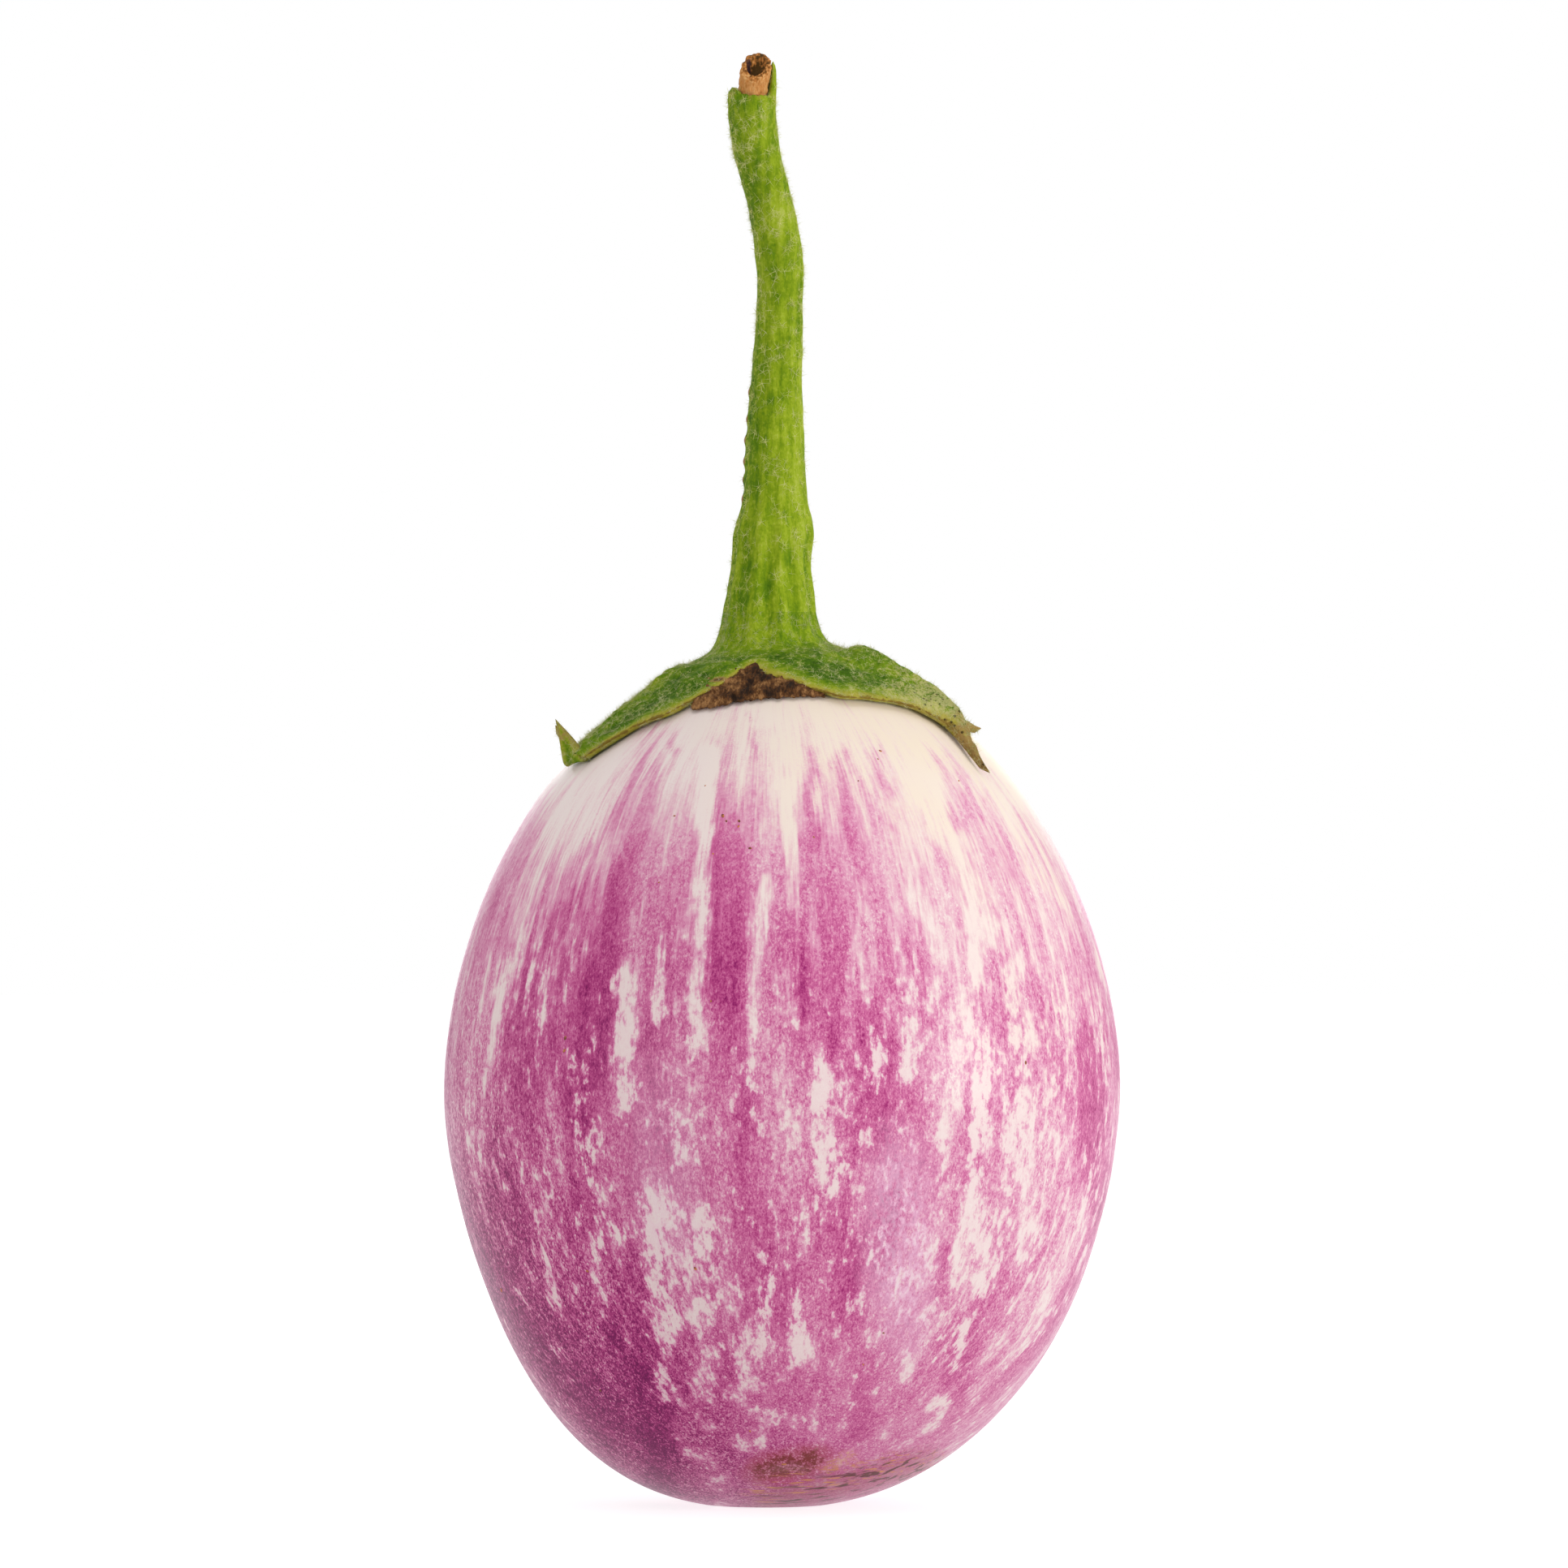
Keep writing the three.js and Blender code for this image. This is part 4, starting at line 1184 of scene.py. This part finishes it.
def split_tissue(material):
    """Torn brown tissue that fills the split at the front of the calyx."""
    columns, rows = 120, 150
    bm, column, row = closed_grid(columns, rows)
    direction = lerp(WEB_LEFT, WEB_RIGHT, row / rows)
    from_ends = ease(direction, WEB_LEFT, WEB_LEFT + 7) * ease(direction, WEB_RIGHT, WEB_RIGHT - 7)
    width = np.sqrt(from_ends)
    u = column / columns
    top = u < 0.5
    share = np.where(top, u * 2, 2 - u * 2)
    torn = bumps(joined(direction * 0.3, 0, 0), 0.5, 41)
    edge = WEB_TO + 0.8 * ease(direction, 262, 244) + 0.5 * ease(direction, 274, 294)
    middle = (WEB_FROM + WEB_TO) / 2
    reach = lerp(lerp(middle, WEB_FROM, width), lerp(middle, edge + 0.35 * torn, width), share)
    x, y = around(CALYX_CENTRE, reach, direction)
    thick = 0.55 + 0.5 * ease(share, 0.9, 0.2) + 0.28 * bumps(joined(x, y, 0), 0.8, 42)
    raised = WEB_HEIGHT + thick * width * ease(share, 1.0, 0.86)
    points = over_skin(x, y, np.where(top, raised, WEB_HEIGHT - 0.02 * width))
    move_points(bm, points)
    shade = 0.12 - 0.3 * ease(reach, 11.4, 10) + 0.3 * bell(reach - 12.6, 1.2) * bell(direction - 262, 9)
    shade -= 0.25 * ease(direction, 254, 244) + 0.6 * bumps(points, 1.6, 43)
    return finished_piece("split_tissue", bm, material, attributes={"shade": shade})


# Star hairs


def star_template(chance, rays):
    """One star hair: slender closed rays from one point, the first standing up and the others low."""
    bm = bmesh.new()
    ray_radius = 0.028
    for i in range(rays):
        length = chance.uniform(0.7, 1.15)
        tilt = chance.uniform(0.1, 0.5) if i else 1.2
        turn = i * 2 * math.pi / rays + chance.uniform(-0.3, 0.3)
        sides = dict(cap_ends=True, cap_tris=True, segments=3)
        ray = bmesh.ops.create_cone(bm, radius1=ray_radius, radius2=0.0, depth=length, **sides)
        lift = Matrix.Translation((0, 0, length / 2))
        lean = Euler((0, math.pi / 2 - tilt, turn)).to_matrix().to_4x4()
        bmesh.ops.transform(bm, matrix=lean @ lift, verts=ray["verts"])
    bmesh.ops.remove_doubles(bm, verts=bm.verts[:], dist=1e-6)
    mesh = bpy.data.meshes.new("star")
    bm.to_mesh(mesh)
    bm.free()
    return mesh


def hair_finish(name, colour, lighter):
    """Pale hairs, lighter in some places than in others."""
    hair = Finish(name)
    tone = hair.noise(hair.place(), 0.8, detail=2)
    hair.set(
        Base_Color=hair.mix(hair.span(tone, 0.3, 0.7), colour, lighter),
        Roughness=0.7,
        Specular_IOR_Level=0.2,
    )
    return hair.material


def hairs_on(piece, name, count, seed, size, material, wanted):
    """Star hairs scattered over a piece, of a size in millimetres, where wanted(point, normal)
    gives their share."""
    chance = random.Random(seed)
    templates = [star_template(chance, rays) for rays in (4, 5, 5, 6)]
    faces = piece.data.polygons
    areas = np.zeros(len(faces))
    faces.foreach_get("area", areas)
    heap = np.cumsum(areas)
    picked = []
    while len(picked) < count:
        face = faces[int(np.searchsorted(heap, chance.random() * heap[-1]))]
        if chance.random() < wanted(face.center / MM, face.normal):
            picked.append((face.center.copy(), face.normal.copy()))
    bm = bmesh.new()
    for start in range(0, count, HAIR_TUFT):
        tuft = bmesh.new()
        for point, normal in picked[start : start + HAIR_TUFT]:
            before = len(tuft.verts)
            tuft.from_mesh(chance.choice(templates))
            tuft.verts.ensure_lookup_table()
            turn = normal.to_track_quat("Z", "Y").to_matrix().to_4x4()
            spin = Matrix.Rotation(chance.uniform(0, LARGEST_SPIN), 4, "Z")
            grow = Matrix.Scale(size * chance.uniform(0.6, 1.25) * MM, 4)
            move = Matrix.Translation(point - normal * HAIR_ROOT * MM) @ turn @ spin @ grow
            for vert in tuft.verts[before:]:
                vert.co = move @ vert.co
        patch = bpy.data.meshes.new("tuft")
        tuft.to_mesh(patch)
        tuft.free()
        bm.from_mesh(patch)
        bpy.data.meshes.remove(patch)
    for mesh in templates:
        bpy.data.meshes.remove(mesh)
    return finished_piece(name, bm, material, smooth=False)


def on_calyx(point, normal):
    """Share of star hairs: most of them behind, far out and in one tuft beside the stem's foot."""
    reach = math.hypot(point.x - CALYX_CENTRE[0], point.y - CALYX_CENTRE[1])
    height = point.z - float(shoulder_z(point.x, point.y))
    if height < 0.55 and reach < 26:
        return 0.0
    if point.z > 102.8 and normal.z > 0.9:
        return 0.0
    behind = float(ease(point.y, -9, -1))
    clump = float(bell(math.hypot(point.x - 6.6, point.y - 1.5), 1.6))
    return 0.16 + 0.3 * float(ease(reach, 9, 22)) + 0.4 * behind + 0.6 * clump


def on_stalk(point, normal):
    """Share of star hairs, in clusters that are thicker towards the top."""
    if point.z < SEAM_Z + 0.2 or (point.z > 162 and normal.z > 0.7):
        return 0.0
    share = 0.4 + 0.6 * float(ease(point.z, 118, 145))
    return share if noise.noise(point / 1.2) > 0.1 else 0.14 * share


# Studio


def even_light():
    """Plain colours, an even white sky and four soft lamps."""
    scene = bpy.context.scene
    scene.view_settings.view_transform = "Standard"
    scene.view_settings.look = "None"
    scene.view_settings.exposure = 0
    scene.view_settings.gamma = 1

    world = bpy.data.worlds.new("studio")
    scene.world = world
    world.use_nodes = True
    sky = world.node_tree.nodes["Background"]
    sky.inputs["Color"].default_value = WHITE
    sky.inputs["Strength"].default_value = SKY_STRENGTH

    for name, place, size, power in LAMPS:
        data = bpy.data.lights.new(name, "AREA")
        data.shape = "DISK"
        data.size = size
        data.energy = power
        lamp = bpy.data.objects.new(name, data)
        lamp.location = place
        lamp.rotation_euler = (Vector(LAMP_AIM) - Vector(place)).to_track_quat("-Z", "Y").to_euler()
        lamp.visible_camera = False
        scene.collection.objects.link(lamp)


def staged(name, bm, material):
    """A thing of the studio, which isn't part of the object and is left out of its diffuse light."""
    mesh = bpy.data.meshes.new(name)
    bm.to_mesh(mesh)
    bm.free()
    mesh.materials.append(material)
    thing = bpy.data.objects.new(name, mesh)
    thing.visible_diffuse = False
    bpy.context.scene.collection.objects.link(thing)
    return thing


def white_floor():
    """A white floor that glows, so that it runs into the backdrop."""
    bm = bmesh.new()
    bmesh.ops.create_circle(bm, cap_ends=True, radius=FLOOR_RADIUS, segments=96)
    white = Finish("floor_white")
    tone = white.noise(white.place(), 0.01, detail=1)
    white.set(
        Base_Color=white.mix(tone, (0.44, 0.44, 0.44, 1), (0.45, 0.45, 0.45, 1)),
        Roughness=0.9,
        Specular_IOR_Level=0.1,
        Emission_Color=WHITE,
        Emission_Strength=0.8,
    )
    staged("floor", bm, white.material)


def white_backdrop():
    """A white dome that only the camera sees."""
    bm = bmesh.new()
    bmesh.ops.create_icosphere(bm, subdivisions=4, radius=BACKDROP_RADIUS)
    bmesh.ops.reverse_faces(bm, faces=bm.faces[:])
    glow = Finish("backdrop_white")
    glow.set(
        Base_Color=(0, 0, 0, 1),
        Specular_IOR_Level=0.0,
        Emission_Color=WHITE,
        Emission_Strength=1.0,
    )
    backdrop = staged("backdrop", bm, glow.material)
    backdrop.visible_glossy = False
    backdrop.visible_transmission = False
    backdrop.visible_shadow = False


def camera_at_the_front():
    data = bpy.data.cameras.new("camera")
    data.sensor_width = SENSOR
    data.lens = SENSOR * CAMERA_DISTANCE / (FRAME_PIXELS * PIXEL)
    data.clip_start, data.clip_end = 0.05, 20
    camera = bpy.data.objects.new("camera", data)
    aim_x, aim_z = camera_aim()
    camera.location = Vector((aim_x, -CAMERA_DISTANCE, aim_z)) * MM
    camera.rotation_euler = (math.pi / 2, 0, 0)
    bpy.context.scene.collection.objects.link(camera)
    bpy.context.scene.camera = camera


even_light()
white_floor()
white_backdrop()
camera_at_the_front()
green = green_finish()
fruit = fruit_skin()
skin_specks(fruit)
cap = calyx_cap(green)
stem = stalk(green)
dry_stub(dry_finish("dry_wood", WOOD_TANS, contrast=0.9, along=(1, 1, 0.25)))
split_tissue(dry_finish("torn_tissue", TORN_BROWNS, contrast=1.4, along=(0.9, 0.22, 0.5)))
hairs = hair_finish("calyx_hairs", paint(178, 184, 112), paint(218, 214, 164))
hairs_on(cap, "calyx_hairs", 6500, 71, 0.66, hairs, wanted=on_calyx)
hairs = hair_finish("stalk_hairs", paint(196, 204, 100), paint(234, 230, 164))
hairs_on(stem, "stalk_hairs", 1700, 72, 0.8, hairs, wanted=on_stalk)
